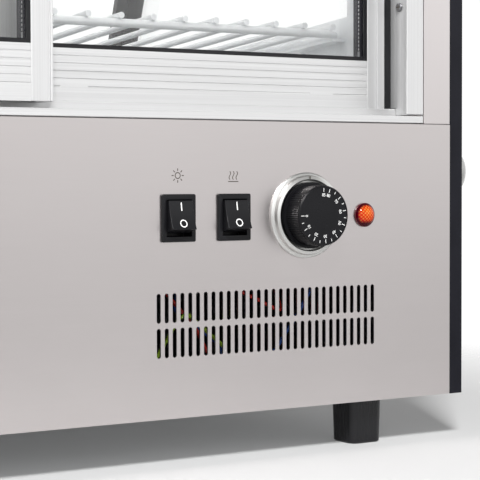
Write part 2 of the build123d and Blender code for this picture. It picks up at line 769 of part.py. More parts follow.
def thermostat_shaft():
    here = front_plane(0, DIAL_X, DIAL_Z)
    length = SHEET + STAT_D / 2 + SHAFT_OUT
    return here * Pos(0, 0, SHAFT_OUT) * Cylinder(
        SHAFT_R, length, align=(Align.CENTER, Align.CENTER, Align.MAX)
    )


def thermostat_knob():
    """Round knob: plain skirt, knurled grip and a chamfered face."""
    points = []
    for i in range(2 * KNURLS):
        radius = KNOB_R - KNURL_DEPTH * (i % 2)
        angle = pi * i / KNURLS
        points.append((radius * cos(angle), radius * sin(angle)))
    here = front_plane(0, DIAL_X, DIAL_Z)
    low = (Align.CENTER, Align.CENTER, Align.MIN)
    grip_z = KNOB_BASE + SKIRT_H
    face_r = KNOB_R - KNURL_DEPTH
    grip = Pos(0, 0, grip_z) * extrude(polygon(*points), KNOB_OUT - KNOB_CAP_H - grip_z)
    skirt = Pos(0, 0, KNOB_BASE) * Cylinder(SKIRT_R, SKIRT_H, align=low)
    face = Pos(0, 0, KNOB_OUT - KNOB_CAP_H) * Cylinder(face_r, KNOB_CAP_H, align=low)
    face = chamfer(face.faces().sort_by(Axis.Z)[-1].edges(), KNOB_EDGE)
    face -= Pos(0, 0, KNOB_OUT - DIAL_SUNK) * Cylinder(face_r - KNOB_EDGE - DIAL_RIM, 1, align=low)
    knob = skirt + grip + face
    knob -= Cylinder(SHAFT_R, SHAFT_OUT, align=low)
    return here * knob


def thermostat_bezel():
    """Stepped bright ring round the knob, with a thin floor that its bush clamps."""
    flange = 2.0
    floor_t = 0.8
    edge = 0.8
    step_r = (BEZEL_R + BEZEL_IN_R) / 2 + edge
    ring = polygon(
        (BEZEL_IN_R, 0),
        (BEZEL_R, 0),
        (BEZEL_R, flange - edge),
        (BEZEL_R - edge, flange),
        (step_r, flange + edge / 2),
        (step_r - edge, BEZEL_H - edge),
        (BEZEL_IN_R + edge, BEZEL_H),
        (BEZEL_IN_R, BEZEL_H - edge),
    )
    ring = revolve(Plane.XZ * ring, Axis.Z)
    floor = Cylinder(BEZEL_IN_R, floor_t, align=(Align.CENTER, Align.CENTER, Align.MIN))
    floor -= Cylinder(BUSH_R + FIT_GAP, 4 * floor_t)
    return front_plane(0, DIAL_X, DIAL_Z) * (ring + floor)


def sensor_capillary():
    """Thin tube from the thermostat to the sensing bulb that lies along the heater well's wall."""
    start = (DIAL_X, REAR + SHEET + STAT_D, DIAL_Z)
    bulb_depth = WELL_D - WELL_L / 2 - BULB_R - 1.0
    bulb_z = ELEMENT_Z + 2 * BULB_R
    route = [
        start,
        shifted(start, 0, 24, 0),
        shifted(start, -30, 60, 6),
        (DIAL_X - 60, REAR + bulb_depth, bulb_z + 14),
        (DIAL_X - 90, REAR + bulb_depth, bulb_z),
    ]
    tube = round_tube(route, CAPILLARY_R, 8.0)
    bulb_x = DIAL_X - 90 - BULB_L / 2
    bulb = Pos(bulb_x, REAR + bulb_depth, bulb_z) * Rot(0, 90, 0) * Cylinder(BULB_R, BULB_L)
    return tube + bulb


def shifted(point, dx, dy, dz):
    return (point[0] + dx, point[1] + dy, point[2] + dz)


# Rocker switches
def switch_tub_half():
    return ROCKER_H / 2 + ROCKER_GAP, ROCKER_W / 2 + ROCKER_SIDE_GAP


def switch_housing(x):
    """Snap-in switch body with a raised rim, a tub for the rocker and two rear tabs."""
    half_h, half_w = switch_tub_half()
    here = front_plane(0, x, SWITCH_Z)
    rim = extrude(RectangleRounded(SWITCH_W, SWITCH_H, 1.2), SWITCH_RIM)
    rim = chamfer(rim.faces().sort_by(Axis.Z)[-1].outer_wire().edges(), 0.5)
    body = Pos(0, 0, -SWITCH_BODY_D / 2) * Box(SWITCH_BODY_W, SWITCH_BODY_H, SWITCH_BODY_D)
    tub_d = PIVOT_D + ROCKER_HUB + 1.0
    tub = Box(2 * half_w, 2 * half_h, tub_d + SWITCH_RIM, align=(Align.CENTER, Align.CENTER, Align.MIN))
    housing = rim + body - Pos(0, 0, -tub_d) * tub
    housing -= Pos(0, 0, -PIVOT_D) * Rot(0, 90, 0) * Cylinder(PIVOT_R + RUN_GAP, ROCKER_W + 2 * PIVOT_L)
    for side in (-1, 1):
        tab = Box(SPADE_W, SPADE_T, SPADE_L + 1, align=(Align.CENTER, Align.CENTER, Align.MAX))
        housing += Pos(0, side * TAB_PITCH, 1 - SWITCH_BODY_D) * tab
    return here * housing


def rocker(x):
    """Dished rocker on its two pivot pins, stored with its upper end pressed in."""
    half = ROCKER_H / 2
    back = ROCKER_HUB - 1
    outline = make_face(
        [
            ThreePointArc((-ROCKER_RISE, half), (-ROCKER_RISE + ROCKER_DISH, 0), (-ROCKER_RISE, -half)),
            *Polyline((-ROCKER_RISE, -half), (ROCKER_BACK, -half), (back, -HUB_H)).edges(),
            ThreePointArc((back, -HUB_H), (ROCKER_HUB, 0), (back, HUB_H)),
            *Polyline((back, HUB_H), (ROCKER_BACK, half), (-ROCKER_RISE, half)).edges(),
        ]
    )
    across_x = Plane(origin=(-ROCKER_W / 2, 0, 0), x_dir=(0, 1, 0), z_dir=(1, 0, 0))
    paddle = extrude(across_x * outline, ROCKER_W)
    paddle = fillet(paddle.faces().sort_by(Axis.Y)[0].edges(), ROCKER_EDGE)
    paddle += Rot(0, 90, 0) * Cylinder(PIVOT_R, ROCKER_W + 2 * (PIVOT_L - RUN_GAP))
    return Pos(x, REAR + PIVOT_D, SWITCH_Z) * Rot(-ROCKER_TILT, 0, 0) * paddle


# Indicator
def indicator_body():
    """Panel lamp: barrel, hexagonal nut behind the panel, collar under the lens and two tabs."""
    here = front_plane(0, LENS_X, SWITCH_Z)
    barrel = Cylinder(LAMP_BODY_R, LAMP_BODY_D, align=(Align.CENTER, Align.CENTER, Align.MAX))
    nut = Pos(0, 0, -SHEET) * extrude(RegularPolygon(LENS_R, 6), -NUT_H)
    collar = Cylinder(LENS_R + FIT_GAP, LENS_BASE, align=(Align.CENTER, Align.CENTER, Align.MIN))
    body = barrel + nut + collar
    for side in (-1, 1):
        body += Pos(0, side * LAMP_BODY_R / 2, -LAMP_BODY_D) * Box(SPADE_W / 2, SPADE_T, SPADE_L)
    return here * body


def indicator_lens():
    """Domed lens on the lamp's collar."""
    rise = LENS_OUT - LENS_BASE
    ball_r = (LENS_R ** 2 + rise ** 2) / (2 * rise)
    dome = Pos(0, 0, LENS_OUT - ball_r) * Sphere(ball_r)
    base = Cylinder(LENS_R, 2 * rise, align=(Align.CENTER, Align.CENTER, Align.MIN))
    dome &= Pos(0, 0, LENS_BASE) * base
    return front_plane(0, LENS_X, SWITCH_Z) * dome


# Wiring
def terminal_block():
    """Row of screw terminals on the bottom tray."""
    floor = FOOT_H + SHEET
    half = BLOCK_POLES * BLOCK_PITCH / 2
    body = block(
        (BLOCK_X - half, BLOCK_X + half),
        (BLOCK_D - POLE_D / 2 - 3, BLOCK_D + POLE_D / 2 + 3),
        (floor, floor + BLOCK_H),
    )
    for i in range(BLOCK_POLES):
        x = pole(i)[0]
        body += block(
            (x - BLOCK_PITCH / 2 + 1.3, x + BLOCK_PITCH / 2 - 1.3),
            (BLOCK_D - POLE_D / 2, BLOCK_D + POLE_D / 2),
            (floor + BLOCK_H, floor + BLOCK_H + POLE_H),
        )
    return body


def pole(i):
    """Wire entry of one pole of the terminal block, on the operator's side."""
    x = BLOCK_X + (i - (BLOCK_POLES - 1) / 2) * BLOCK_PITCH
    return (x, REAR + BLOCK_D - POLE_D / 2, FOOT_H + SHEET + BLOCK_H + POLE_H / 2)


def tab_end(x, up):
    """Rear end of a switch's tab."""
    return (x, REAR + SWITCH_BODY_D + SPADE_L, SWITCH_Z + TAB_PITCH * up)


def red_wires():
    """Live runs: heat switch to thermostat, and terminal block to light switch."""
    heat = tab_end(SWITCH_X[1], -1)
    stat = (DIAL_X, REAR + SHEET + STAT_D + SPADE_L, DIAL_Z - STAT_W / 4)
    link = [
        heat,
        shifted(heat, 0, 9, 0),
        shifted(heat, 6, 12, -30),
        (heat[0] + 16, REAR + 22, SLOT_ROWS[0] + 9),
        (heat[0] + 52, REAR + 20, SLOT_ROWS[0] - 8),
        shifted(stat, 10, 18, -34),
        shifted(stat, 0, 10, 0),
        stat,
    ]
    light = tab_end(SWITCH_X[0], -1)
    feed = [
        light,
        shifted(light, 0, 9, 0),
        shifted(light, 8, 14, -36),
        (light[0] + 34, REAR + 34, SLOT_ROWS[0] - 18),
        shifted(pole(0), 0, -24, 16),
        shifted(pole(0), 0, -10, 0),
        pole(0),
    ]
    return [round_tube(link, WIRE_R, WIRE_BEND), round_tube(feed, WIRE_R, WIRE_BEND)]


def blue_wires():
    """Neutral runs: indicator lamp and heat switch to the terminal block."""
    lamp = (LENS_X, REAR + LAMP_BODY_D + SPADE_L / 2, SWITCH_Z - LAMP_BODY_R / 2)
    first = [
        lamp,
        shifted(lamp, 0, 9, 0),
        shifted(lamp, -6, 14, -34),
        (lamp[0] - 30, REAR + 36, SLOT_ROWS[0] - 10),
        shifted(pole(4), 6, -24, 16),
        shifted(pole(4), 0, -10, 0),
        pole(4),
    ]
    heat = tab_end(SWITCH_X[1], 1)
    second = [
        heat,
        shifted(heat, 0, 9, 0),
        shifted(heat, -9, 22, -30),
        (heat[0] - 16, REAR + 50, SLOT_ROWS[0] - 6),
        shifted(pole(1), 0, -22, 24),
        shifted(pole(1), 0, -10, 0),
        pole(1),
    ]
    return [round_tube(first, WIRE_R, WIRE_BEND), round_tube(second, WIRE_R, WIRE_BEND)]


def earth_wire():
    """From the terminal block to a bonding point on the tray."""
    stud = (BLOCK_X - 70, REAR + BLOCK_D - 30, FOOT_H + SHEET)
    run = [
        pole(2),
        shifted(pole(2), 0, -10, 0),
        shifted(pole(2), -12, -26, 24),
        (stud[0] + 14, REAR + 26, SLOT_ROWS[0] - 4),
        shifted(stud, 0, 0, 24),
        stud,
    ]
    return round_tube(run, WIRE_R, WIRE_BEND)


def cord_gland():
    """Bushing in the panel for the supply cord: flange, barrel and lock nut round a free bore."""
    here = front_plane(0, GLAND_X, GLAND_Z)
    low = (Align.CENTER, Align.CENTER, Align.MIN)
    high = (Align.CENTER, Align.CENTER, Align.MAX)
    barrel = Cylinder(GLAND_R - GLAND_RIM - RUN_GAP, GLAND_DEEP, align=high)
    flange = Cylinder(GLAND_R, GLAND_OUT, align=low)
    nut = Pos(0, 0, -SHEET) * extrude(RegularPolygon(GLAND_R + 1, 6), -GLAND_NUT_H)
    bore = Cylinder(GLAND_BORE, 3 * GLAND_DEEP)
    return here * (barrel + flange + nut - bore)


# Door frame of the case
def pillar():
    """Brushed corner post, a folded channel open to the side panel."""
    z = (BASE_TOP + FIT_GAP, COVER_Z)
    x0 = PILLAR_X
    post = block((x0, SHEET_X), (0, PILLAR_D), z)
    post -= block((x0 + SHEET, SHEET_X - SHEET), (SHEET, PILLAR_D + 1), (z[0] - 1, z[1] + 1))
    return post


def jamb():
    """Extruded jamb: an operator-side flange, the web that the door closes on, and a rear flange.

    Its front part reaches down behind the sill's lip, and the rest stands on the sill's middle fin.
    """
    outer = PILLAR_X - FIT_GAP
    inner = PILLAR_X - JAMB_FLANGE
    outline = polygon(
        (TRACK_LIP_D, inner),
        (TRACK_LIP_D, outer),
        (TRACK_LIP_D + TRACK_T, outer),
        (TRACK_LIP_D + TRACK_T, JAMB_WEB + TRACK_T),
        (TRACK_D - TRACK_T, JAMB_WEB + TRACK_T),
        (TRACK_D - TRACK_T, outer),
        (TRACK_D, outer),
        (TRACK_D, JAMB_WEB),
        (TRACK_LIP_D + TRACK_T, JAMB_WEB),
        (TRACK_LIP_D + TRACK_T, inner),
    )
    low = BASE_TOP + TRACK_GAP + RAIL_H
    plane = Plane(origin=(0, REAR, low), x_dir=(0, 1, 0), z_dir=(0, 0, -1))
    bar = extrude(plane * outline, low - COVER_Z + HEAD_H)
    cleared = block(
        (inner - FIT_GAP, PILLAR_X),
        (FIN_D - FIT_GAP, TRACK_D + FIT_GAP),
        (BASE_TOP, BASE_TOP + FIN_H + FIT_GAP),
    )
    return bar - cleared


def sill_track():
    """Bottom track: front lip, middle fin, rear fin and two running rails on one floor."""
    low = BASE_TOP
    lip_low = low + TRACK_GAP
    lip_top = low + TRACK_LIP_H
    floor_top = low + SILL_FLOOR
    half = PILLAR_X - FIT_GAP
    span = (-half, half)
    track = block(span, (DOOR_FACE_D, TRACK_D), (low, floor_top))
    track += block(span, (TRACK_LIP_D, DOOR_FACE_D), (lip_low, floor_top))
    track += block(span, (TRACK_LIP_D, TRACK_LIP_D + TRACK_T), (lip_low, lip_top))
    track += block(span, (FIN_D, FIN_D + TRACK_T), (low, low + FIN_H))
    track += block(span, (TRACK_D - TRACK_T, TRACK_D), (low, lip_top))
    for depth in DOOR_D:
        rail_depth = depth + DOOR_T / 2
        track += block(span, (rail_depth - RAIL_T / 2, rail_depth + RAIL_T / 2), (low, RAIL_TOP))
    return track


def head_track():
    """Top guide: three fins that hang from one web."""
    half = PILLAR_X - FIT_GAP
    top = COVER_Z
    low = COVER_Z - HEAD_H
    track = block((-half, half), (TRACK_LIP_D, TRACK_D), (top - 2, top))
    for depth in (TRACK_LIP_D, FIN_D, TRACK_D - TRACK_T):
        track += block((-half, half), (depth, depth + TRACK_T), (low, top))
    return track


# Sliding doors, drawn as the right-hand inner door and mirrored for the left-hand outer one
def door_stiles(depth):
    """Jamb-side and meeting stiles, each with its glazing rebate and a proud edge lip."""
    face = depth + LIP_RISE
    groove = depth + LIP_GROOVE_D
    slot_front = depth + PANE_SET_BACK - FIT_GAP
    slot_back = depth + DOOR_T - STILE_BACK
    shapes = []
    for inner_x, outer_x, lip_w in (
        (DOOR_EDGE - STILE_W, DOOR_EDGE, JAMB_LIP),
        (STILE_W - DOOR_LAP, -DOOR_LAP, STILE_LIP),
    ):
        out = 1 if outer_x > inner_x else -1
        lip = outer_x - out * lip_w
        groove_x = lip - out * LIP_GROOVE_W
        rebate = inner_x + out * GLAZING_DEEP
        outline = polygon(
            (inner_x, face),
            (groove_x, face),
            (groove_x, groove),
            (lip, groove),
            (lip, depth),
            (outer_x, depth),
            (outer_x, depth + DOOR_T),
            (inner_x, depth + DOOR_T),
            (inner_x, slot_back),
            (rebate, slot_back),
            (rebate, slot_front),
            (inner_x, slot_front),
        )
        shapes.append(extrude(level_plane(DOOR_Z) * outline, DOOR_TOP - DOOR_Z))
    return shapes


def rail_outline(depth, height, grooves):
    """Section of a horizontal rail: a hollow box with a glazing rebate on top and bevelled grooves."""
    front = depth + RAIL_SET_BACK
    back = depth + DOOR_T - RAIL_SET_BACK
    slot_front = depth + PANE_SET_BACK - FIT_GAP
    slot_back = depth + DOOR_T - STILE_BACK
    slot_low = height - GLAZING_DEEP
    over = height + GLAZING_DEEP
    bay_top = slot_low - RAIL_WALL
    face = polygon((front, 0), (back, 0), (back, height), (front, height))
    slot = polygon((slot_front, slot_low), (slot_back, slot_low), (slot_back, over), (slot_front, over))
    bay = polygon(
        (front + RAIL_WALL, -RAIL_WALL),
        (back - RAIL_WALL, -RAIL_WALL),
        (back - RAIL_WALL, bay_top),
        (front + RAIL_WALL, bay_top),
    )
    section = face - slot - bay
    for i in range(grooves):
        z = height - (i + 1) * GROOVE_PITCH
        section -= polygon(
            (front - GROOVE_DEEP, z + GROOVE_W / 2),
            (front + GROOVE_DEEP, z + GROOVE_W / 2),
            (front, z - GROOVE_W / 2),
            (front - GROOVE_DEEP, z - GROOVE_W / 2),
        )
    return section


def door_span():
    return STILE_W - DOOR_LAP, DOOR_EDGE - STILE_W


def roller_fork(depth, x):
    """Web and two cheeks that hold a roller's axle in the hollow of the bottom rail."""
    middle = depth + DOOR_T / 2
    cheek_in = ROLLER_W / 2 + CHEEK_GAP
    cheek_out = DOOR_T / 2 - RAIL_SET_BACK
    roof = roller_z() + ROLLER_R + FORK_GAP
    depths = (middle - cheek_out, middle + cheek_out)
    fork = block((x - FORK_W / 2, x + FORK_W / 2), depths, (roof, roof + FORK_H))
    for side in (-1, 1):
        cheek = sorted((middle + side * cheek_in, middle + side * cheek_out))
        fork += block((x - CHEEK_W / 2, x + CHEEK_W / 2), cheek, (DOOR_Z + CHEEK_GAP, roof))
    return fork + front_plane(middle, x, roller_z()) * Cylinder(AXLE_R, 2 * cheek_in + AXLE_R)


def door_rails(depth):
    """Bottom rail with its face grooves and roller forks, and the plain top rail."""
    x0, x1 = door_span()
    low = Pos(0, 0, DOOR_Z) * across(rail_outline(depth, BOTTOM_RAIL_H, GROOVE_COUNT), x0, x1)
    for x in roller_places():
        low += roller_fork(depth, x)
    high = across(rail_outline(depth, TOP_RAIL_H, 0), x0, x1)
    high = Pos(0, 0, DOOR_TOP) * mirror(high, about=Plane.XY)
    return [low, high]


def roller_places():
    x0, x1 = door_span()
    return x0 + ROLLER_INSET, x1 - ROLLER_INSET


def roller_z():
    return RAIL_TOP + ROLLER_RIDE + ROLLER_R - ROLLER_GROOVE


def door_roller(depth, x):
    """Grooved nylon roller that straddles the running rail."""
    half = ROLLER_W / 2
    half_groove = RAIL_T / 2 + CHEEK_GAP
    section = polygon(
        (AXLE_R + RUN_GAP, -half),
        (ROLLER_R, -half),
        (ROLLER_R, -half_groove),
        (ROLLER_R - ROLLER_GROOVE, -half_groove),
        (ROLLER_R - ROLLER_GROOVE, half_groove),
        (ROLLER_R, half_groove),
        (ROLLER_R, half),
        (AXLE_R + RUN_GAP, half),
    )
    wheel = revolve(Plane.XZ * section, Axis.Z)
    return front_plane(depth + DOOR_T / 2, x, roller_z()) * wheel


def glazing_box(depth_pair, inset):
    """Upright slab in the door's glazing opening, inset from the stiles and rails."""
    x0, x1 = door_span()
    z0 = DOOR_Z + BOTTOM_RAIL_H
    z1 = DOOR_TOP - TOP_RAIL_H
    return block((x0 + inset, x1 - inset), depth_pair, (z0 + inset, z1 - inset))


def pane_depths(depth):
    """Depths of the four faces of the glazing unit, front to back."""
    front = depth + PANE_SET_BACK
    inner = front + DOOR_PANE_T
    return front, inner, inner + SPACER_T, front + GLAZING_T


def door_panes(depth):
    faces = pane_depths(depth)
    return [glazing_box(faces[:2], -PANE_TUCK), glazing_box(faces[2:], -PANE_TUCK)]


def door_spacer(depth):
    """Perforated hollow bar between the panes, shown closed, as a frame."""
    near, far = pane_depths(depth)[1:3]
    ring = glazing_box((near, far), -SPACER_TUCK)
    return ring - glazing_box((near - SHEET, far + SHEET), SPACER_W - SPACER_TUCK)


def door_seals(depth):
    """Glazing bead round the pane and the soft strip on the door's closing edge."""
    glass = depth + PANE_SET_BACK
    bead = glazing_box((depth + BEAD_SET_BACK, glass), 0)
    bead -= glazing_box((depth, glass + SHEET), BEAD_W)
    strip = block(
        (DOOR_EDGE, DOOR_EDGE + SEAL_W),
        (depth + BEAD_SET_BACK, depth + BEAD_SET_BACK + SEAL_T),
        (DOOR_Z, DOOR_TOP - DOOR_ENTRY),
    )
    return [bead, strip]


def flipped(shapes):
    return [mirror(shape, about=Plane.YZ) for shape in shapes]


# Shelves
def shelf_frame(shape, height):
    """Tilt a level shelf drawn at its start depth, and lift it to its height."""
    return Pos(0, REAR + SHELF_START, height) * Rot(-SHELF_TILT, 0, 0) * shape


def shelf_level(i):
    """Height of a shelf's rim wire at its door side."""
    slot = SHELF_SLOT + i * SHELF_STEP
    return BASE_TOP + UPRIGHT_FIRST + slot * UPRIGHT_PITCH + HOOK_LEVEL


def shelf_length(height):
    """Length along the tilt at which the rim stays a fixed gap inside the glass."""
    tilt = radians(SHELF_TILT)
    length = 0.0
    for _ in range(6):
        tip_z = height - length * sin(tilt)
        reach = glass_depth(tip_z, -GLASS_T) - SHELF_GLASS_GAP - SHELF_START
        length = reach / cos(tilt)
    return length


def wire_shelf(length):
    """Rim of thick wire with thinner rods laid across it from door side to glass side."""
    half = SHELF_W / 2
    corners = [(-half, 0), (half, 0), (half, length), (-half, length)]
    path = FilletPolyline(*corners, radius=RIM_CORNER, close=True)
    shelf = sweep(Plane(origin=path @ 0, z_dir=path % 0) * Circle(RIM_R), path=path)
    weld = 0.6
    lift = RIM_R + ROD_R - weld
    count = int((SHELF_W - 2 * ROD_MARGIN) // ROD_PITCH) + 1
    rods = []
    for i in range(count):
        x = (i - (count - 1) / 2) * ROD_PITCH
        rods.append(Pos(x, length / 2, lift) * Rot(90, 0, 0) * Cylinder(ROD_R, length + 2 * ROD_OVERHANG))
    for i in range(CROSS_BARS):
        y = length * (i + 1) / (CROSS_BARS + 1)
        rods.append(Pos(0, y, 0) * Rot(0, 90, 0) * Cylinder(RIM_R - weld, SHELF_W))
    return shelf + rods


def tilted(height, along, up):
    """Depth and height of a point given along and above a shelf's rim."""
    tilt = radians(SHELF_TILT)
    return SHELF_START + along * cos(tilt) + up * sin(tilt), height - along * sin(tilt) + up * cos(tilt)


def shelf_arm(height, length):
    """Cantilever arm: tapered upright flange, a ledge for the rim and two hooks in the upright."""
    under = -RIM_R - ARM_T
    tip = length + RIM_R
    back = UPRIGHT_FACE + FIT_GAP
    flange = polygon(
        (back, height + ARM_RISE),
        (back, height - ARM_DROP),
        (SHELF_START, height - ARM_DROP),
        tilted(height, 60, under),
        tilted(height, tip, under),
        tilted(height, tip, 2),
        tilted(height, tip - 16, ARM_RISE - 3),
        tilted(height, 0, ARM_RISE),
    )
    arm = across(flange, ARM_X, ARM_X + ARM_T)
    web_back = UPRIGHT_FACE - UPRIGHT_T - 2 * RUN_GAP
    for i in range(2):
        seat = height - HOOK_LEVEL + i * UPRIGHT_PITCH + RUN_GAP
        neck = block((ARM_X, ARM_X + ARM_T), (web_back - HOOK_T, back), (seat, seat + HOOK_H))
        tail = block((ARM_X, ARM_X + ARM_T), (web_back - HOOK_T, web_back), (seat - HOOK_TAIL, seat))
        arm += neck + tail
    ledge = Box(ARM_LEDGE, tip, ARM_T, align=(Align.MAX, Align.MIN, Align.MAX))
    arm += shelf_frame(Pos(ARM_X + RUN_GAP, 0, -RIM_R - RUN_GAP) * ledge, height)
    return arm


def shelf_arms():
    arms = []
    for i in range(SHELF_COUNT):
        height = shelf_level(i)
        arms.extend(both_sides(shelf_arm(height, shelf_length(height))))
    return arms


def upright():
    """Channel with a row of slots for the arms, standing on the deck behind the jamb."""
    x0 = ARM_X + ARM_T / 2 - UPRIGHT_W / 2
    x1 = x0 + UPRIGHT_W
    depths = (UPRIGHT_FACE - UPRIGHT_D, UPRIGHT_FACE)
    z = (BASE_TOP, CEILING_Z)
    post = block((x0, x1), depths, z)
    post -= block(
        (x0 + UPRIGHT_T, x1 - UPRIGHT_T),
        (depths[0] - UPRIGHT_T, depths[1] - UPRIGHT_T),
        (z[0] - UPRIGHT_T, z[1] + UPRIGHT_T),
    )
    first = BASE_TOP + UPRIGHT_FIRST
    count = int((CEILING_Z - first - UPRIGHT_SLOT_H) // UPRIGHT_PITCH) + 1
    for i in range(count):
        low = first + i * UPRIGHT_PITCH
        post -= block(
            (ARM_X - FIT_GAP, ARM_X + ARM_T + FIT_GAP),
            (UPRIGHT_FACE - 2 * UPRIGHT_T, UPRIGHT_FACE + UPRIGHT_T),
            (low, low + UPRIGHT_SLOT_H),
        )
    return post


# Fasteners
def screws():
    """Pan-head screws in the jambs' webs, seen past the doors' closing edges."""
    head = Cylinder(SCREW_R, SCREW_HEAD_H, align=(Align.CENTER, Align.CENTER, Align.MIN))
    head = fillet(head.faces().sort_by(Axis.Z)[0].edges(), SCREW_HEAD_H / 2)
    shapes = []
    for z in (BASE_TOP + SCREW_RISE, COVER_Z - HEAD_H - SCREW_DROP):
        place = Pos(JAMB_WEB - SCREW_HEAD_H, REAR + SCREW_D, z)
        shapes.extend(both_sides(place * Rot(0, 90, 0) * head))
    return shapes


os.makedirs("parts", exist_ok=True)

right_panel = side_panel()
save("side_panel_right", right_panel)
save("side_panel_left", mirror(right_panel, about=Plane.YZ))
panes = side_panes()
save("side_panes", *panes, *flipped(panes))
caps = [solid for depth in cap_depths() for solid in cap_bolt(depth)]
save("cap_bolts", *caps, *flipped(caps))
save("front_glass", front_glass())
save("front_glass_trim", *front_glass_trim())
save("top_cover", top_cover())
save("ceiling_pan", ceiling_pan())
save("lamp_holder", lamp_holder())
save("lamp_tube", lamp_tube())
save("base_pan", base_pan())
save("front_panel", front_panel())
save("control_panel", control_panel())
save("deck", deck())
save("heater_box", *heater_box())
save("heating_element", heating_element())
save("deck_grille", deck_grille())
save("thermostat_body", thermostat_body())
save("thermostat_bezel", thermostat_bezel())
save("thermostat_shaft", thermostat_shaft())
save("thermostat_knob", thermostat_knob())
save("sensor_capillary", sensor_capillary())
for name, x in zip(("light", "heat"), SWITCH_X):
    save(f"{name}_switch_housing", switch_housing(x))
    save(f"{name}_rocker", rocker(x))
save("indicator_body", indicator_body())
save("indicator_lens", indicator_lens())
save("terminal_block", terminal_block())
save("wires_red", *red_wires())
save("wires_blue", *blue_wires())
save("wire_earth", earth_wire())
save("cord_gland", cord_gland())
one_foot = foot()
for end, depth in (("rear", FOOT_INSET), ("front", CASE_D - FOOT_INSET)):
    save(f"feet_{end}", *both_sides(Pos(FOOT_X, REAR + depth, 0) * one_foot))
save("pillars", *both_sides(pillar()))
save("jambs", *both_sides(jamb()))
save("sill_track", sill_track())
save("head_track", head_track())
for name, depth, turned in (("left", DOOR_D[0], True), ("right", DOOR_D[1], False)):
    pieces = {
        "stiles": door_stiles(depth),
        "rails": door_rails(depth),
        "panes": door_panes(depth),
        "spacer": [door_spacer(depth)],
        "seals": door_seals(depth),
    }
    for i, x in enumerate(roller_places()):
        pieces[f"roller_{i + 1}"] = [door_roller(depth, x)]
    for piece, shapes in pieces.items():
        save(f"door_{name}_{piece}", *(flipped(shapes) if turned else shapes))
for i in range(SHELF_COUNT):
    height = shelf_level(i)
    save(f"shelf_{i + 1}", shelf_frame(wire_shelf(shelf_length(height)), height))
save("shelf_arms", *shelf_arms())
save("uprights", *both_sides(upright()))
save("screws", *screws())
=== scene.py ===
# %% [markdown]
# # A heated display case, seen from the operator's side
#
# The construction is already finished: every panel, door, switch and wire comes in as a fixed piece, in
# metres, where it belongs. This lesson dresses it. We set up the camera and a small studio, write each finish
# as a procedural material, and add the thin things that a solid model leaves out: printed marks, brush lines,
# perforations, the scale of the thermostat's dial, and the painted shade of the screws' cross recesses.

# %% Load the fixed frame
import json
from math import cos, pi, radians, sin

import bmesh
import bpy
from mathutils import Matrix, Vector


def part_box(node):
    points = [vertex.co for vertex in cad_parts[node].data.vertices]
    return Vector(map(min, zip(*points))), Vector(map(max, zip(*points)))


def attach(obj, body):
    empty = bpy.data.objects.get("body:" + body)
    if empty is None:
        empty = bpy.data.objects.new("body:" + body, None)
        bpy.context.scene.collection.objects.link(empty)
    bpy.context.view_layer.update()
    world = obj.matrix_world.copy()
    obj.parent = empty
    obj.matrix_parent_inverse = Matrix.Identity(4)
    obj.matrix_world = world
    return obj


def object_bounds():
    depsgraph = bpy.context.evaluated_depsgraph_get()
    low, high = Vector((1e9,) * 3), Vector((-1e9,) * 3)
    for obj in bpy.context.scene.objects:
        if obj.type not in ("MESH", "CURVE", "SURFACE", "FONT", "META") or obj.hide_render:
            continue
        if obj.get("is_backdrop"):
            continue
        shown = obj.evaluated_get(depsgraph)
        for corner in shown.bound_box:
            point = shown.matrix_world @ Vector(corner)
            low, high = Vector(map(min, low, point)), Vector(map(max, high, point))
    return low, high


MM = 0.001
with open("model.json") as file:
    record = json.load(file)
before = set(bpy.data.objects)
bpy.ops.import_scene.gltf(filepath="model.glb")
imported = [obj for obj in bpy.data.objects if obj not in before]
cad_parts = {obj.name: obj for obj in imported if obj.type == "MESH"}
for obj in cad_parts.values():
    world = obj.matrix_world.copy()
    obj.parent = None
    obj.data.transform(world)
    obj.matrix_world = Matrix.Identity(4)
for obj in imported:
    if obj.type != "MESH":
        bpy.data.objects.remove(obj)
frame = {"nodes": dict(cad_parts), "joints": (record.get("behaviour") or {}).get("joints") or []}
nodes = frame["nodes"]
cad_box = [list(corner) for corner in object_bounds()]
print("pieces in the frame:", len(nodes))
print("size in metres:", [round(high - low, 3) for low, high in zip(*cad_box)])

# %% [markdown]
# ## Camera
#
# The picture is taken from close by with a long lens, a little above the controls and to their left. A camera
# in Blender looks along its own -Z, so its matrix is built from the direction it looks in, and the roll turns
# it about that line. The numbers come from the straight edges and the round knob of the real case.

# %% Place the camera
PICTURE_W = 480
FOCAL_PX = 1691.0
SENSOR_MM = 36.0
CAMERA_PLACE = Vector((-0.4574, -1.2024, 0.1878))
YAW = radians(32.80)
PITCH = radians(2.10)
ROLL = radians(-0.154)

camera_data = bpy.data.cameras.new("photo_camera")
camera_data.sensor_width = SENSOR_MM
camera_data.lens = FOCAL_PX / PICTURE_W * SENSOR_MM
camera_data.clip_start = 0.05
camera = bpy.data.objects.new("photo_camera", camera_data)
bpy.context.scene.collection.objects.link(camera)
ahead = Vector((sin(YAW) * cos(PITCH), cos(YAW) * cos(PITCH), -sin(PITCH)))
level = Vector((cos(YAW), -sin(YAW), 0.0))
above = level.cross(ahead)
across = level * cos(ROLL) + above * sin(ROLL)
upward = above * cos(ROLL) - level * sin(ROLL)
turned = Matrix((across, upward, -ahead)).transposed()
camera.matrix_world = Matrix.Translation(CAMERA_PLACE) @ turned.to_4x4()
bpy.context.scene.camera = camera
print("lens in millimetres:", round(camera_data.lens, 1))

# %% [markdown]
# ## Shader formulas
#
# A finish is easier to read as a formula than as a web of nodes. The class below wraps one output of a node,
# and each operator adds the Math node that does that sum. The reflected forms let a plain number stand first.


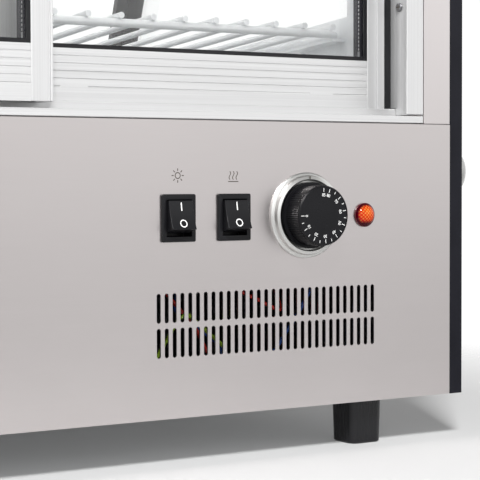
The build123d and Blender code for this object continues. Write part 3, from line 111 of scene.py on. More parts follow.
# %% One shader output as a value
class Wire:
    """One shader output that can stand in a formula, such as 1 - wear * 0.4."""

    def __init__(self, recipe, socket):
        self.recipe = recipe
        self.socket = socket

    def math(self, operation, first, second=0.0):
        """Add the Math node of one operation."""
        return self.recipe.node("ShaderNodeMath", {"operation": operation}, {0: first, 1: second})

    def __add__(self, other):
        return self.math("ADD", self, other)

    def __radd__(self, other):
        return self.math("ADD", other, self)

    def __sub__(self, other):
        return self.math("SUBTRACT", self, other)

    def __rsub__(self, other):
        return self.math("SUBTRACT", other, self)

    def __mul__(self, other):
        return self.math("MULTIPLY", self, other)

    def __rmul__(self, other):
        return self.math("MULTIPLY", other, self)

    def __truediv__(self, other):
        return self.math("DIVIDE", self, other)

    def __rtruediv__(self, other):
        return self.math("DIVIDE", other, self)

    def __pow__(self, other):
        return self.math("POWER", self, other)

    def __rpow__(self, other):
        return self.math("POWER", other, self)

    def __lt__(self, other):
        return self.math("LESS_THAN", self, other)

    def __gt__(self, other):
        return self.math("GREATER_THAN", self, other)

    def fraction(self):
        """What is left of the value after its whole part."""
        return self.math("FRACT", self)

    def largest(self, other):
        """The larger of two values."""
        return self.math("MAXIMUM", self, other)


# %% [markdown]
# A recipe owns one tree of nodes. Whatever isn't plain arithmetic comes from its method for nodes, which
# takes the kind of node, its settings, and the numbers or outputs that feed its sockets. Colours are mixed
# with a Mix node, because a Math node would turn them grey.


# %% A tree of nodes
class Recipe:
    """Nodes of one shader tree, added by formulas."""

    def __init__(self, tree):
        self.tree = tree
        self.tree.nodes.clear()

    def put(self, node, values):
        """Set a node's sockets from numbers, colours or wires."""
        for key, value in values.items():
            socket = node.inputs[key]
            if isinstance(value, Wire):
                self.tree.links.new(value.socket, socket)
            elif isinstance(value, tuple) and len(value) == 3 and socket.type == "RGBA":
                socket.default_value = (*value, 1.0)
            else:
                socket.default_value = value

    def node(self, kind, settings=None, values=None, output=0):
        """Add a node, set it up, feed its sockets and return one of its outputs."""
        made = self.tree.nodes.new(kind)
        for key, value in (settings or {}).items():
            if key == "stops":
                ramp = made.color_ramp.elements
                while len(ramp) < len(value):
                    ramp.new(0.5)
                for stop, (place, shade) in zip(ramp, value):
                    stop.position = place
                    stop.color = (*shade, 1.0)
            else:
                setattr(made, key, value)
        self.put(made, values or {})
        return Wire(self, made.outputs[output])

    def axis(self, name, source="Object"):
        """One coordinate of the place, in metres."""
        here = self.node("ShaderNodeTexCoord", output=source)
        return self.node("ShaderNodeSeparateXYZ", {}, {0: here}, output=name)

    def noise(self, scale, detail=2.0, stretch=(1.0, 1.0, 1.0)):
        """Cloudy noise, which a stretch can draw out along an axis."""
        here = self.node("ShaderNodeTexCoord", output="Object")
        place = self.node("ShaderNodeMapping", {}, {"Vector": here, "Scale": stretch})
        return self.node("ShaderNodeTexNoise", {}, {"Vector": place, "Scale": scale, "Detail": detail})

    def ramp(self, value, low, high, start=0.0, end=1.0):
        """Map a value from low..high to start..end, held at both ends."""
        return self.node("ShaderNodeMapRange", {}, {0: value, 1: low, 2: high, 3: start, 4: end})

    def mix(self, amount, first, second):
        """Blend two colours."""
        return self.node("ShaderNodeMix", {"data_type": "RGBA"}, {0: amount, 6: first, 7: second}, output=2)


# %% [markdown]
# A finish is the recipe of a material. It starts with a Principled shader, and its sockets are then fed by
# their names.


# %% A material under construction
class Finish(Recipe):
    """A material under construction, with a Principled shader as its surface."""

    def __init__(self, name, colour, roughness=0.5, metallic=0.0, **more):
        self.material = bpy.data.materials.new(name)
        self.material.use_nodes = True
        super().__init__(self.material.node_tree)
        self.output = self.tree.nodes.new("ShaderNodeOutputMaterial")
        self.surface = self.tree.nodes.new("ShaderNodeBsdfPrincipled")
        self.tree.links.new(self.surface.outputs[0], self.output.inputs["Surface"])
        self.set(base_color=colour, roughness=roughness, metallic=metallic, **more)

    def set(self, **values):
        """Feed the surface's sockets by their names in small letters."""
        names = {key: key.replace("_", " ").title().replace("Ior", "IOR") for key in values}
        self.put(self.surface, {names[key]: value for key, value in values.items()})

    def bump(self, height, strength, distance):
        """Tilt the surface as if the height were real."""
        values = {"Height": height, "Strength": strength, "Distance": distance}
        self.set(normal=self.node("ShaderNodeBump", {}, values))


# %% Helpers for finishes
def dress(finish, *names):
    """Give CAD nodes a finish."""
    for name in names:
        slots = nodes[name].data.materials
        slots.clear()
        slots.append(finish.material)


def tone(colour, factor):
    """A colour made lighter or darker."""
    return tuple(min(1.0, channel * factor) for channel in colour)


# %% [markdown]
# ## Studio
#
# The case stands on a pale floor. One lamp stands above and behind the camera, a little to its left, so that
# the base throws a shadow back and to the right. Behind the case is an even white backdrop. On the camera's
# side the room grows brighter upwards, and the steel mirrors that as a slow fade. Overhead it is dark, so
# that the shadow under the case stays dark.

# %% Paint the surroundings
bpy.context.scene.view_settings.view_transform = "Standard"
world = bpy.data.worlds.new("studio")
world.use_nodes = True
sky = Recipe(world.node_tree)
BACKDROP_LIGHT = 1.03
ROOM_LOW = 0.58
ROOM_HIGH = 1.54
ROOF_SHARE = 0.15
ROOM_FADE = (-0.13, 0.19)
BACKDROP_FADE = (-0.1, 0.3)
ROOF_FADE = (0.3, 0.6)
height = sky.axis("Z", "Generated")
room = sky.ramp(height, *ROOM_FADE, ROOM_LOW, ROOM_HIGH)
beyond = sky.ramp(sky.axis("Y", "Generated"), *BACKDROP_FADE)
wall = room + beyond * (BACKDROP_LIGHT - room)
light = wall * sky.ramp(height, *ROOF_FADE, 1.0, ROOF_SHARE)
backdrop = sky.node("ShaderNodeBackground", {}, {"Color": (1.0, 1.0, 1.0), "Strength": light})
sky_output = sky.tree.nodes.new("ShaderNodeOutputWorld")
sky.tree.links.new(backdrop.socket, sky_output.inputs["Surface"])
bpy.context.scene.world = world
print("light of the room, from low to high:", ROOM_LOW, "to", ROOM_HIGH)

# %% Hang the key light
KEY_SIZE = 0.5
KEY_WATTS = 122.0
KEY_DISTANCE = 3.0
KEY_AIM = Vector((0.2, -0.2, 0.1))
KEY_DIRECTION = Vector((-0.352, -0.639, 0.683))
key_data = bpy.data.lights.new("key", "AREA")
key_data.shape = "SQUARE"
key_data.size = KEY_SIZE
key_data.energy = KEY_WATTS
key = bpy.data.objects.new("key", key_data)
bpy.context.scene.collection.objects.link(key)
key.location = KEY_AIM + KEY_DIRECTION * KEY_DISTANCE
key.rotation_euler = KEY_DIRECTION.to_track_quat("Z", "Y").to_euler()
print("key light stands at", [round(value, 2) for value in key.location])

# %% [markdown]
# ## Floor
#
# A plain pale sheet. It only has to catch the shadow, so it is one quad that fades out into the bright
# surroundings with its distance from the case. A faint glow of its own keeps the shadow grey.

# %% Lay the floor
FLOOR_HALF = 1.2
FADE_FROM = 0.5
FADE_TO = 0.85
FLOOR_GREY = (0.52, 0.52, 0.52)
FLOOR_GLOW = 0.08
sheet = bmesh.new()
bmesh.ops.create_grid(sheet, x_segments=1, y_segments=1, size=FLOOR_HALF)
floor_mesh = bpy.data.meshes.new("floor")
sheet.to_mesh(floor_mesh)
sheet.free()
floor = bpy.data.objects.new("floor", floor_mesh)
bpy.context.scene.collection.objects.link(floor)
floor_finish = Finish("studio_floor", FLOOR_GREY, roughness=0.7, specular_ior_level=0.2)
floor_finish.set(emission_color=(1.0, 1.0, 1.0), emission_strength=FLOOR_GLOW)
floor_x = floor_finish.axis("X")
floor_y = floor_finish.axis("Y")
away = (floor_x * floor_x + floor_y * floor_y) ** 0.5
floor_finish.set(alpha=floor_finish.ramp(away, FADE_FROM, FADE_TO, 1.0, 0.0))
floor.data.materials.append(floor_finish.material)
floor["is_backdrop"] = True
print("floor fades out between", FADE_FROM, "and", FADE_TO, "metres")

# %% [markdown]
# ## Brushed stainless steel
#
# The control panel is cold-rolled sheet that was drawn through a belt sander, so its marks are long, thin and
# level. Noise stretched along X makes them: it varies the colour a little, the roughness more, and tilts the
# surface by a few micrometres. A slow second noise gives the cloudy light and dark that real sheet shows. A
# noise mostly keeps within the span named here, so that span is what gets mapped. The pillars' marks run
# upright.

# %% Brushed stainless steel
NOISE_SPAN = (0.3, 0.7)
SCRATCH_SCALE = 1900.0
SCRATCH_STRETCH = 0.012
SCRATCH_SHARE = 0.25
CLOUD_SCALE = 5.0


def brushed(name, colour, along, roughness=0.3, depth=0.03):
    """Metal with fine straight scratches along one axis."""
    finish = Finish(name, colour, roughness, 1.0)
    stretch = [1.0, 1.0, 1.0]
    stretch[along] = SCRATCH_STRETCH
    scratch = finish.noise(SCRATCH_SCALE, 3.0, tuple(stretch))
    cloud = finish.noise(CLOUD_SCALE, 2.0)
    shade = finish.ramp(scratch * SCRATCH_SHARE + cloud * (1 - SCRATCH_SHARE), *NOISE_SPAN)
    finish.set(base_color=finish.mix(shade, tone(colour, 0.97), tone(colour, 1.03)))
    finish.set(roughness=finish.ramp(scratch, *NOISE_SPAN, roughness - 0.02, roughness + 0.03))
    finish.bump(scratch, depth, 0.02 * MM)
    return finish


stainless = brushed("brushed_stainless", (0.575, 0.54, 0.536), along=0)
upright_steel = brushed("upright_stainless", (0.62, 0.585, 0.582), along=2)
dress(stainless, "control_panel", "front_panel", "top_cover")
dress(upright_steel, "pillars")
print("steel finishes made")

# %% [markdown]
# ## Zinc-coated sheet
#
# The tray, the deck with its grille, the heater box and the thermostat's body are plain zinc-coated sheet,
# and zinc freezes in feathery grains. A Voronoi texture gives each grain its own grey.

# %% Zinc-coated sheet
GRAIN_SCALE = 90.0


def zinc(name, colour):
    """Sheet with a patchwork of zinc grains."""
    finish = Finish(name, colour, 0.42, 1.0)
    here = finish.node("ShaderNodeTexCoord", output="Object")
    grain = finish.node("ShaderNodeTexVoronoi", {}, {"Vector": here, "Scale": GRAIN_SCALE}, output="Color")
    grey = finish.node("ShaderNodeSeparateColor", {}, {0: grain})
    finish.set(base_color=finish.mix(grey, tone(colour, 0.88), tone(colour, 1.08)))
    finish.set(roughness=0.34 + grey * 0.16)
    finish.bump(grey, 0.15, 0.1 * MM)
    return finish


zinc_sheet = zinc("zinc_sheet", (0.60, 0.62, 0.63))
dress(zinc_sheet, "base_pan", "deck", "deck_grille", "heater_box", "thermostat_body")
print("zinc-coated pieces dressed")

# %% [markdown]
# ## Anodised aluminium
#
# Doors, jambs and tracks are extruded bars with a bright satin anodised skin. The die leaves faint lines
# along each bar. The bars run level or upright, so there are two versions, each with its lines along its own
# bar.

# %% Anodised aluminium
DIE_LINE_SCALE = 900.0
DIE_LINE_STRETCH = 0.004


def anodised(name, along, shade):
    """Satin aluminium with faint lines along one axis."""
    finish = Finish(name, (shade, shade, shade), 0.42, 0.6)
    stretch = [1.0, 1.0, 1.0]
    stretch[along] = DIE_LINE_STRETCH
    line = finish.noise(DIE_LINE_SCALE, 2.0, tuple(stretch))
    dark = (shade * 0.95, shade * 0.95, shade * 0.953)
    pale = (shade * 1.04, shade * 1.04, shade * 1.043)
    finish.set(base_color=finish.mix(finish.ramp(line, 0.35, 0.65), dark, pale))
    finish.set(roughness=finish.ramp(line, *NOISE_SPAN, 0.36, 0.5))
    finish.bump(line, 0.3, 0.02 * MM)
    return finish


level_bar = anodised("anodised_level", along=0, shade=0.6)
upright_bar = anodised("anodised_upright", along=2, shade=0.585)
dress(level_bar, "sill_track", "head_track", "door_left_rails", "door_right_rails")
dress(upright_bar, "jambs", "door_left_stiles", "door_right_stiles")
print("bars dressed")

# %% [markdown]
# ## Glass
#
# A pane is thin and flat, so light passes nearly straight through and only the skin mirrors. The finish mixes
# a clear shader with a sharp gloss, and the share of gloss grows towards grazing angles, as Fresnel says.
# Real refraction would only add noise here. The doors' panes lay a pale veil over whatever is black behind
# them. The fixed glass has an anti-glare skin, so it hardly shows. Where the doors overlap, a ray meets eight
# clear skins before it is inside, so it is allowed more of them than usual.

# %% Clear glass
GLASS_IOR = 1.45
GLASS_ROUGHNESS = 0.02
CLEAR_SKINS = 32


def clear_glass(name, tint, gloss):
    """Thin clear pane whose skin mirrors a share of the light."""
    finish = Finish(name, (1.0, 1.0, 1.0), GLASS_ROUGHNESS)
    clear = finish.node("ShaderNodeBsdfTransparent", {}, {"Color": tint})
    facing = finish.node("ShaderNodeFresnel", {}, {"IOR": GLASS_IOR})
    gleam = finish.node("ShaderNodeBsdfGlossy", {}, {"Color": (1.0, 1.0, 1.0), "Roughness": GLASS_ROUGHNESS})
    pane = finish.node("ShaderNodeMixShader", {}, {0: facing * gloss, 1: clear, 2: gleam})
    finish.tree.links.new(pane.socket, finish.output.inputs["Surface"])
    finish.tree.nodes.remove(finish.surface)
    return finish


bpy.context.scene.cycles.transparent_max_bounces = CLEAR_SKINS
door_glass = clear_glass("door_glass", (0.998, 1.0, 0.999), gloss=0.7)
case_glass = clear_glass("case_glass", (0.999, 1.0, 1.0), gloss=0.1)
dress(door_glass, "door_left_panes", "door_right_panes")
dress(case_glass, "side_panes", "front_glass")
print("a ray may pass", CLEAR_SKINS, "clear skins")

# %% [markdown]
# ## Black parts
#
# The side panels' edges are gloss black, the feet and seals are rubber with a soft shine, and the knob and
# switches are moulded plastic with a faint spark-eroded grain. They differ in roughness and in the size of
# their grain. The rollers' nylon and the indicator's collar are the same recipe in other colours.

# %% Moulded finishes
WEAR_SCALE = 40.0


def moulded(name, colour, roughness, grain, depth, shine=0.3):
    """Moulded plastic or rubber: one colour with a fine grain in its skin."""
    finish = Finish(name, colour, roughness, specular_ior_level=shine)
    skin = finish.noise(grain, 2.0)
    wear = finish.ramp(finish.noise(WEAR_SCALE, 3.0), 0.3, 0.75)
    worn = tuple(channel * 1.4 + 0.001 for channel in colour)
    finish.set(base_color=finish.mix(wear, colour, worn))
    finish.set(roughness=finish.ramp(skin, *NOISE_SPAN, roughness - 0.06, roughness + 0.08))
    finish.bump(skin, 0.35, depth)
    return finish


edge_black = moulded("edge_black", (0.0068, 0.0068, 0.0098), 0.16, 300.0, 0.01 * MM, shine=0.12)
switch_black = moulded("switch_black", (0.005, 0.005, 0.006), 0.36, 2600.0, 0.03 * MM, shine=0.22)
knob_black = moulded("knob_black", (0.004, 0.004, 0.005), 0.32, 2600.0, 0.02 * MM, shine=0.18)
rubber = moulded("rubber", (0.003, 0.003, 0.004), 0.34, 1400.0, 0.03 * MM, shine=0.35)
spacer_black = moulded("spacer_black", (0.022, 0.022, 0.028), 0.45, 1400.0, 0.02 * MM)
white_nylon = moulded("white_nylon", (0.72, 0.72, 0.69), 0.45, 1400.0, 0.02 * MM, shine=0.5)
lamp_collar = moulded("lamp_collar", (0.06, 0.004, 0.006), 0.2, 1400.0, 0.01 * MM, shine=0.4)

# %% Dress the moulded parts
dress(edge_black, "side_panel_left", "side_panel_right")
dress(switch_black, "light_switch_housing", "heat_switch_housing", "light_rocker", "heat_rocker")
dress(switch_black, "cord_gland")
dress(knob_black, "thermostat_knob")
dress(rubber, "feet_front", "feet_rear", "front_glass_trim", "door_left_seals", "door_right_seals")
dress(spacer_black, "door_left_spacer", "door_right_spacer")
rollers = [f"door_{side}_roller_{i}" for side in ("left", "right") for i in (1, 2)]
dress(white_nylon, "terminal_block", *rollers)
dress(lamp_collar, "indicator_body")
print("moulded parts dressed, with", len(rollers), "rollers")

# %% [markdown]
# ## Bright and coloured parts
#
# The shelves are bright-plated wire, the bezel and caps are polished, the ceiling is white enamel, the
# sensor's tube is copper, and behind the slots lie red, blue and green-yellow wires.

# %% Bright, painted and coloured finishes
SMEAR_SCALE = 60.0
PEEL_SCALE = 500.0


def polished(name, colour, roughness, metallic=1.0):
    """Bright metal with faint smears."""
    finish = Finish(name, colour, roughness, metallic)
    smear = finish.noise(SMEAR_SCALE, 3.0)
    finish.set(roughness=finish.ramp(smear, 0.3, 0.75, roughness, roughness + 0.10))
    finish.set(base_color=finish.mix(finish.ramp(smear, 0.4, 0.8), colour, tone(colour, 0.94)))
    return finish


def painted(name, colour, roughness=0.4):
    """Paint or wire sleeve: slight mottling and orange peel."""
    finish = Finish(name, colour, roughness)
    peel = finish.noise(PEEL_SCALE, 2.0)
    finish.set(base_color=finish.mix(peel, tone(colour, 0.94), colour))
    finish.bump(peel, 0.12, 0.03 * MM)
    return finish


print("recipes for bright metal and for paint are ready")

# %% Dress the bright and coloured parts
plated = polished("plated_wire", (0.95, 0.96, 0.975), 0.32, 0.2)
fastener = polished("plated_fastener", (0.38, 0.38, 0.37), 0.22)
satin_ring = polished("satin_ring", (0.63, 0.63, 0.615), 0.3)
screw_head = polished("screw_head", (0.27, 0.27, 0.28), 0.3)
dress(plated, "shelf_1", "shelf_2", "shelf_3", "shelf_arms", "uprights")
dress(fastener, "cap_bolts", "thermostat_shaft")
dress(screw_head, "screws")
dress(satin_ring, "thermostat_bezel")
dress(painted("white_enamel", (0.92, 0.92, 0.91), 0.3), "ceiling_pan", "lamp_holder")
dress(painted("red_sleeve", (0.62, 0.03, 0.02)), "wires_red")
dress(painted("blue_sleeve", (0.04, 0.13, 0.50)), "wires_blue")
dress(painted("earth_sleeve", (0.40, 0.62, 0.05)), "wire_earth")
dress(polished("copper", (0.78, 0.42, 0.26), 0.25), "sensor_capillary")
dress(polished("element_sheath", (0.22, 0.20, 0.19), 0.35), "heating_element")
print("bright, painted and coloured parts dressed")

# %% [markdown]
# ## Lamp and indicator
#
# The tube in the canopy and the red lens are the two things that give light. The lens glows brightest above
# its middle, where its bulb sits, and small dimples inside it break the light into dots. Its rim and its
# lowest part glow less, and there the lens's own colour is also painted darker, as painted shade.

# %% Glowing tube
TUBE_GLOW = 14.0
tube_glow = Finish("tube_glow", (0.95, 0.95, 0.93), 0.4)
tube_glow.set(emission_color=(1.0, 0.98, 0.95), emission_strength=TUBE_GLOW)
dress(tube_glow, "lamp_tube")
print("the tube glows with strength", TUBE_GLOW)

# %% Places on the lens
BULB_LEFT = 0.05
BULB_UP = 0.32
DIMPLES = 3.2
DIMPLE_AREA = 0.11
lens_low, lens_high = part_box("indicator_lens")
lens_middle = (lens_low + lens_high) / 2
lens_r = (lens_high.x - lens_low.x) / 2
lens = Finish("indicator_glow", (0.20, 0.008, 0.005), 0.08, specular_ior_level=0.12)
right = (lens.axis("X") - lens_middle.x) / lens_r
up = (lens.axis("Z") - lens_middle.z) / lens_r
from_middle = (right * right + up * up) ** 0.5
bulb_x = right + BULB_LEFT
bulb_z = up - BULB_UP
from_bulb = (bulb_x * bulb_x + bulb_z * bulb_z) ** 0.5
row = ((right + up) * DIMPLES).fraction() - 0.5
column = ((right - up) * DIMPLES).fraction() - 0.5
dimple = (row * row + column * column) < DIMPLE_AREA
print("lens radius in millimetres:", round(lens_r / MM, 2))

# %% Colours of the lens
AMBER = (0.95, 0.21, 0.0)
SCARLET = (0.72, 0.05, 0.0)
CRIMSON = (0.50, 0.010, 0.008)
GARNET = (0.03, 0.0, 0.003)
SPARK = (1.0, 0.60, 0.12)
PALE_BODY = (0.16, 0.005, 0.002)
BODY_IN_SHADE = (0.02, 0.0, 0.002)
BULB_REACH = 0.85
DOT_SPAN = (0.15, 0.9)
DOT_NEAR, DOT_FAR = 0.85, 0.3
RIM_SPAN = (0.74, 0.9)
FOOT_SPAN = (-0.72, -0.4)
LENS_GLOW = 0.7
WARM_STOPS = [(0.0, AMBER), (0.3, SCARLET), (0.75, CRIMSON), (1.0, GARNET)]
warm = lens.node("ShaderNodeValToRGB", {"stops": WARM_STOPS}, {0: from_bulb * BULB_REACH})
dotted = lens.mix(dimple * lens.ramp(from_bulb, *DOT_SPAN, DOT_NEAR, DOT_FAR), warm, SPARK)
shaded = lens.ramp(from_middle, *RIM_SPAN).largest(lens.ramp(up, *FOOT_SPAN, 1.0, 0.0))
# The rim and the lowest part get a darker base colour: painted shade.
lens.set(base_color=lens.mix(shaded, PALE_BODY, BODY_IN_SHADE))
lens.set(emission_color=lens.mix(shaded, dotted, GARNET), emission_strength=LENS_GLOW)
dress(lens, "indicator_lens")
print("the lens glows with strength", LENS_GLOW)

# %% [markdown]
# ## Softened edges
#
# Folded sheet, extrusions and mouldings never have knife edges, and the thin highlight along an edge is what
# makes metal look like metal. The frame's meshes are loose triangles, so each one is first welded, its flat
# areas are joined, and then a Bevel modifier rounds what is still sharp.

# %% Round the sharp edges
BAR_EDGE = 0.4 * MM
FINE_EDGE = 0.25 * MM
WELD_REACH = 0.005 * MM
FLAT_ANGLE = radians(0.5)
SHARP_ANGLE = radians(40.0)
EDGE_SEGMENTS = 2


def soften(width, *names):
    """Weld, flatten and bevel CAD nodes."""
    for name in names:
        piece = nodes[name]
        weld = piece.modifiers.new("weld", "WELD")
        weld.merge_threshold = WELD_REACH
        flat = piece.modifiers.new("flat", "DECIMATE")
        flat.decimate_type = "DISSOLVE"
        flat.angle_limit = FLAT_ANGLE
        edge = piece.modifiers.new("edge", "BEVEL")
        edge.width = width
        edge.segments = EDGE_SEGMENTS
        edge.limit_method = "ANGLE"
        edge.angle_limit = SHARP_ANGLE
        print(name, "is softened by", round(width / MM, 2), "millimetres")


soften(BAR_EDGE, "jambs", "sill_track", "door_left_stiles", "door_right_stiles", "pillars")
soften(FINE_EDGE, "door_left_rails", "door_right_rails", "light_switch_housing", "heat_switch_housing")

# %% [markdown]
# ## Printed and moulded marks
#
# Ink is a real layer, only thin, so each mark is a shallow solid that stands a few hundredths of a millimetre
# on its surface. The first helper turns a bmesh into a piece that rides on the body that carries it. The next
# two add a bar or a ring to a bmesh, and the last is the recipe of the ink.

# %% Helpers for small pieces
INK_T = 0.05 * MM
INK_GRAIN = 900.0


def keep(mesh, name, finish, body):
    """Turn a bmesh into a piece that moves with a body."""
    bmesh.ops.recalc_face_normals(mesh, faces=mesh.faces[:])
    data = bpy.data.meshes.new(name)
    mesh.to_mesh(data)
    mesh.free()
    data.materials.append(finish.material)
    piece = bpy.data.objects.new(name, data)
    bpy.context.scene.collection.objects.link(piece)
    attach(piece, body)
    print(name, "has", len(data.polygons), "faces")


def bar(mesh, place, size, turn=0.0):
    """Add a box at a place, turned about the depth axis; a positive turn is anticlockwise from the front."""
    matrix = Matrix.Translation(place) @ Matrix.Rotation(-turn, 4, "Y") @ Matrix.Diagonal((*size, 1.0))
    bmesh.ops.create_cube(mesh, size=1.0, matrix=matrix)


def ring(mesh, place, outer, inner, thickness, sides=40):
    """Add a flat ring that faces the operator."""
    turn = Matrix.Translation(place) @ Matrix.Rotation(radians(90.0), 4, "X")
    edges = []
    for radius in (outer, inner):
        made = bmesh.ops.create_circle(mesh, segments=sides, radius=radius, matrix=turn)
        edges.extend({edge for vert in made["verts"] for edge in vert.link_edges})
    faces = bmesh.ops.bridge_loops(mesh, edges=edges)["faces"]
    raised = bmesh.ops.extrude_face_region(mesh, geom=faces)["geom"]
    moved = [part for part in raised if isinstance(part, bmesh.types.BMVert)]
    bmesh.ops.translate(mesh, verts=moved, vec=(0.0, -thickness, 0.0))


def ink(name, colour):
    """Screen-printing ink: nearly flat, a little uneven at its edges."""
    finish = Finish(name, colour, 0.5, specular_ior_level=0.3)
    mottle = finish.noise(INK_GRAIN, 2.0)
    finish.set(base_color=finish.mix(mottle, tone(colour, 0.85), colour))
    return finish


white_ink = ink("white_ink", (0.78, 0.78, 0.77))
# The grey ink also serves as the painted shade in the screws' cross recesses.
grey_ink_and_recess_shade = ink("grey_ink_and_recess_shade", (0.06, 0.05, 0.04))
print("ink stands", INK_T / MM, "millimetres on its surface")

# %% [markdown]
# ## Dial
#
# The knob's sunk face carries the scale: a tick every five degrees of heat, a longer one and a number every
# ten, from 0 at the left, round by the bottom, to 85 at the top. The numbers are text curves. Each is made a
# mesh first and then put in its place, with its top towards the rim.

# %% Write one number
NUMBER_SIZE = 2.9 * MM
NUMBER_SWELL = 0.02 * MM


def number_mesh(value):
    """A number as a mesh, centred on the origin and lying flat."""
    text = bpy.data.curves.new("number", "FONT")
    text.body = str(value)
    text.size = NUMBER_SIZE
    text.extrude = INK_T / 2
    text.offset = NUMBER_SWELL
    text.resolution_u = 3
    text.align_x = "CENTER"
    text.align_y = "CENTER"
    written = bpy.data.objects.new("number", text)
    bpy.context.scene.collection.objects.link(written)
    bpy.context.view_layer.update()
    shape = bpy.data.meshes.new_from_object(written.evaluated_get(bpy.context.evaluated_depsgraph_get()))
    bpy.data.objects.remove(written)
    bpy.data.curves.remove(text)
    return shape


# %% Draw the dial
KNOB_BODY = "knob"
DIAL_SUNK = 0.25 * MM
DIAL_STEPS = 17
DIAL_SWEEP = radians(270.0)
DEGREES_PER_STEP = 5
TICK_OUTER = 18.5 * MM
LONG_TICK = 2.6 * MM
SHORT_TICK = 1.8 * MM
TICK_W = 0.38 * MM
NUMBER_R = 13.8 * MM

knob_low, knob_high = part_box("thermostat_knob")
dial = Vector(((knob_low.x + knob_high.x) / 2, knob_low.y + DIAL_SUNK, (knob_low.z + knob_high.z) / 2))
scale = bmesh.new()
for i in range(DIAL_STEPS + 1):
    angle = pi + DIAL_SWEEP * i / DIAL_STEPS
    outward = Vector((cos(angle), 0.0, sin(angle)))
    numbered = i % 2 == 0 or i == DIAL_STEPS
    length = LONG_TICK if numbered else SHORT_TICK
    middle = dial + outward * (TICK_OUTER - length / 2) - Vector((0.0, INK_T / 2, 0.0))
    bar(scale, middle, (length, INK_T, TICK_W), angle)
    if numbered:
        shape = number_mesh(DEGREES_PER_STEP * i)
        upright = Matrix.Rotation(radians(90.0), 4, "X")
        spin = Matrix.Rotation(-(angle - pi / 2), 4, "Y")
        place = dial + outward * NUMBER_R - Vector((0.0, INK_T / 2, 0.0))
        shape.transform(Matrix.Translation(place) @ spin @ upright)
        scale.from_mesh(shape)
        bpy.data.meshes.remove(shape)
bmesh.ops.remove_doubles(scale, verts=scale.verts[:], dist=0.001 * MM)
keep(scale, "dial_scale", white_ink, KNOB_BODY)

# %% [markdown]
# ## Marks on the rockers
#
# Each rocker carries a bar for on and a ring for off, printed on its dished face. The marks are built flat,
# then every point is pushed back by the depth of the dish at its height, and the whole is tilted about the
# pivot. The bar is made of short pieces, so that it has points enough to follow the dish.

# %% Draw the rockers' marks
ROCKER_HALF = 9.65 * MM
ROCKER_RISE = 8.4 * MM
ROCKER_DISH = 0.8 * MM
ROCKER_TILT = radians(15.0)
MARK_UP = 5.6 * MM
MARK_PIECES = 6
MARK_PIECE_L = 0.9 * MM
MARK_W = 0.8 * MM
RING_OUTER = 2.65 * MM
RING_INNER = 1.95 * MM
joints = {joint["name"]: joint for joint in frame["joints"]}

for kind in ("light", "heat"):
    pivot = Vector(joints[f"{kind}_rocker_tilt"]["pos_m"])
    marks = bmesh.new()
    for i in range(MARK_PIECES):
        z = MARK_UP + (i - (MARK_PIECES - 1) / 2) * MARK_PIECE_L
        bar(marks, (0.0, 0.0, z), (MARK_W, INK_T, MARK_PIECE_L))
    ring(marks, (0.0, INK_T / 2, -MARK_UP), RING_OUTER, RING_INNER, INK_T)
    bmesh.ops.remove_doubles(marks, verts=marks.verts[:], dist=0.01 * MM)
    for vert in marks.verts:
        vert.co.y += ROCKER_DISH * (1.0 - (vert.co.z / ROCKER_HALF) ** 2) - ROCKER_RISE
    bmesh.ops.transform(marks, matrix=Matrix.Rotation(-ROCKER_TILT, 4, "X"), verts=marks.verts[:])
    bmesh.ops.translate(marks, vec=pivot, verts=marks.verts[:])
    keep(marks, f"{kind}_rocker_marks", white_ink, f"{kind}_button")

# %% [markdown]
# ## Signs over the switches
#
# Two small plain signs say what the switches do: a lamp with rays, and three rising waves over a bar. A wave
# is a grid strip whose points follow a sine.

# %% Draw the lamp sign
SIGN_RISE = 27.5 * MM
SIGN_LINE = 0.6 * MM
SUN_R = 2.2 * MM
RAYS = 8
RAY_R = 3.8 * MM
RAY_L = 1.6 * MM
panel_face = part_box("control_panel")[0].y
sun = bmesh.new()
light_place = Vector(joints["light_rocker_tilt"]["pos_m"])
sun_place = Vector((light_place.x, panel_face, light_place.z + SIGN_RISE))
ring(sun, sun_place, SUN_R, SUN_R - SIGN_LINE, INK_T, sides=28)
for i in range(RAYS):
    angle = 2 * pi * i / RAYS
    outward = Vector((cos(angle), 0.0, sin(angle)))
    middle = sun_place + outward * RAY_R - Vector((0.0, INK_T / 2, 0.0))
    bar(sun, middle, (RAY_L, INK_T, SIGN_LINE), angle)
keep(sun, "light_sign", grey_ink_and_recess_shade, "case")

# %% Draw the heat sign
WAVE_H = 5.6 * MM
WAVE_SWING = 0.6 * MM
WAVE_PITCH = 2.7 * MM
UNDERLINE_DROP = 4.0 * MM
UNDERLINE_L = 8.0 * MM
waves = bmesh.new()
heat_place = Vector(joints["heat_rocker_tilt"]["pos_m"])
wave_place = Vector((heat_place.x, panel_face, heat_place.z + SIGN_RISE))
for side in (-1, 0, 1):
    strip = bmesh.ops.create_grid(waves, x_segments=1, y_segments=16, size=0.5)["verts"]
    for vert in strip:
        along = vert.co.y
        swing = WAVE_SWING * sin(along * 2 * pi)
        vert.co = (vert.co.x * SIGN_LINE + swing + side * WAVE_PITCH, 0.0, along * WAVE_H)
    bmesh.ops.translate(waves, vec=wave_place, verts=strip)
raised = bmesh.ops.extrude_face_region(waves, geom=waves.faces[:])["geom"]
lifted = [part for part in raised if isinstance(part, bmesh.types.BMVert)]
bmesh.ops.translate(waves, vec=(0.0, -INK_T, 0.0), verts=lifted)
bar(waves, wave_place - Vector((0.0, INK_T / 2, UNDERLINE_DROP)), (UNDERLINE_L, INK_T, SIGN_LINE))
keep(waves, "heat_sign", grey_ink_and_recess_shade, "case")

# %% [markdown]
# ## Pointer on the bezel
#
# A small dark stroke is printed on the bezel above the knob. The scale is read against it.

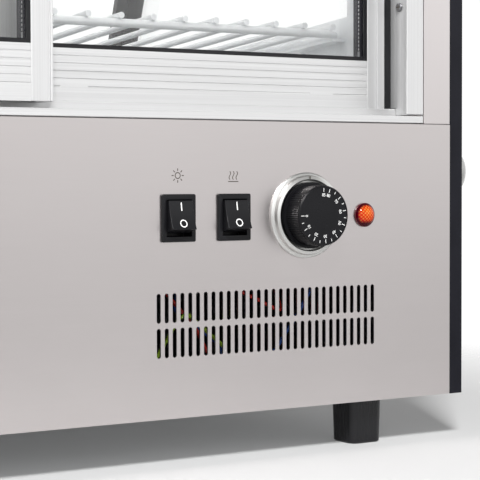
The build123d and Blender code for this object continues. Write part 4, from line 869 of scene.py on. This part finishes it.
# %% Print the pointer
POINTER_R = 25.4 * MM
POINTER_W = 0.9 * MM
POINTER_H = 1.8 * MM
bezel_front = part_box("thermostat_bezel")[0].y
pointer = bmesh.new()
pointer_place = Vector((dial.x, bezel_front + INK_T, dial.z + POINTER_R))
bar(pointer, pointer_place, (POINTER_W, 2 * INK_T, POINTER_H))
keep(pointer, "bezel_pointer", grey_ink_and_recess_shade, "case")

# %% [markdown]
# ## Spacer bars
#
# The hollow bar between a door's panes is punched along its inner side, so that the grains inside can dry the
# air. The holes are dashes near the outer pane. A small grey plug sits in each corner.

# %% Punch the spacers
BAR_W = 6.0 * MM
DASH_L = 1.6 * MM
DASH_W = 1.0 * MM
DASH_PITCH = 2.8 * MM
DASH_IN = 1.8 * MM
PLUG_L = 4.0 * MM
PLUG_W = 2.4 * MM
dash_grey = ink("dash_grey", (0.62, 0.62, 0.63))
plug_grey = moulded("plug_grey", (0.30, 0.30, 0.31), 0.5, 1400.0, 0.02 * MM)


def spread(start, end):
    """Places of the dashes between two corners, centred."""
    count = int((end - start - 2 * PLUG_L) / DASH_PITCH)
    return [(start + end) / 2 + (i - (count - 1) / 2) * DASH_PITCH for i in range(count)]


for side in ("left", "right"):
    low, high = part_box(f"door_{side}_spacer")
    left_x, right_x = low.x + BAR_W, high.x - BAR_W
    bottom, top = low.z + BAR_W, high.z - BAR_W
    depth = low.y + DASH_IN
    dashes = bmesh.new()
    for z in spread(bottom, top):
        for x in (left_x, right_x):
            bar(dashes, (x, depth, z), (2 * INK_T, DASH_W, DASH_L))
    for x in spread(left_x, right_x):
        for z in (bottom, top):
            bar(dashes, (x, depth, z), (DASH_L, DASH_W, 2 * INK_T))
    keep(dashes, f"spacer_dashes_{side}", dash_grey, f"door_{side}")
    plugs = bmesh.new()
    for x in (left_x, right_x):
        for z in (bottom, top):
            into = 1.0 if z == bottom else -1.0
            bar(plugs, (x, depth, z + into * PLUG_L / 2), (4 * INK_T, PLUG_W, PLUG_L))
    keep(plugs, f"spacer_plugs_{side}", plug_grey, f"door_{side}")

# %% [markdown]
# ## Screw recesses, as painted shade
#
# The screws beside the doorway have a cross recess. It isn't cut: a flat dark cross lies on each head as
# painted shade, where the hollow would be dark. Their places are read from the heads themselves: a head's
# inner end is the point nearest the middle of the case. The second arm of each cross stands a little higher
# than the first, so that the two don't share a face.

# %% Paint shade into the screws' recesses
HEAD_R = 3.2 * MM
RECESS_R = 2.0 * MM
RECESS_W = 0.9 * MM
ARM_RISE = 1.1
points = [vert.co.copy() for vert in nodes["screws"].data.vertices]
head_x = min(point.x for point in points if point.x > 0)
screw_low, screw_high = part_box("screws")
screw_y = (screw_low.y + screw_high.y) / 2
cross_shade = bmesh.new()
for sign in (-1, 1):
    for z in (screw_low.z + HEAD_R, screw_high.z - HEAD_R):
        place = Vector((sign * head_x, screw_y, z))
        # Each arm is a flat dark bar of painted shade, not a cut.
        bar(cross_shade, place, (2 * INK_T, 2 * RECESS_R, RECESS_W))
        bar(cross_shade, place, (2 * INK_T * ARM_RISE, RECESS_W, 2 * RECESS_R))
keep(cross_shade, "screw_recess_shade", grey_ink_and_recess_shade, "case")

# %% [markdown]
# ## Last line
#
# The box of the dressed model is measured against the box of the bare one, and the largest difference between
# them is printed, to show how far the finish reaches beyond the bare object. The finish must not make the
# object larger.

# %% Measure the sizes and finish
seen_box = [list(corner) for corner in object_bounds()]
growth = max(abs(a - b) for bare, worn in zip(cad_box, seen_box) for a, b in zip(bare, worn))
print("largest difference between bare and dressed, in millimetres:", round(growth * 1000, 3))
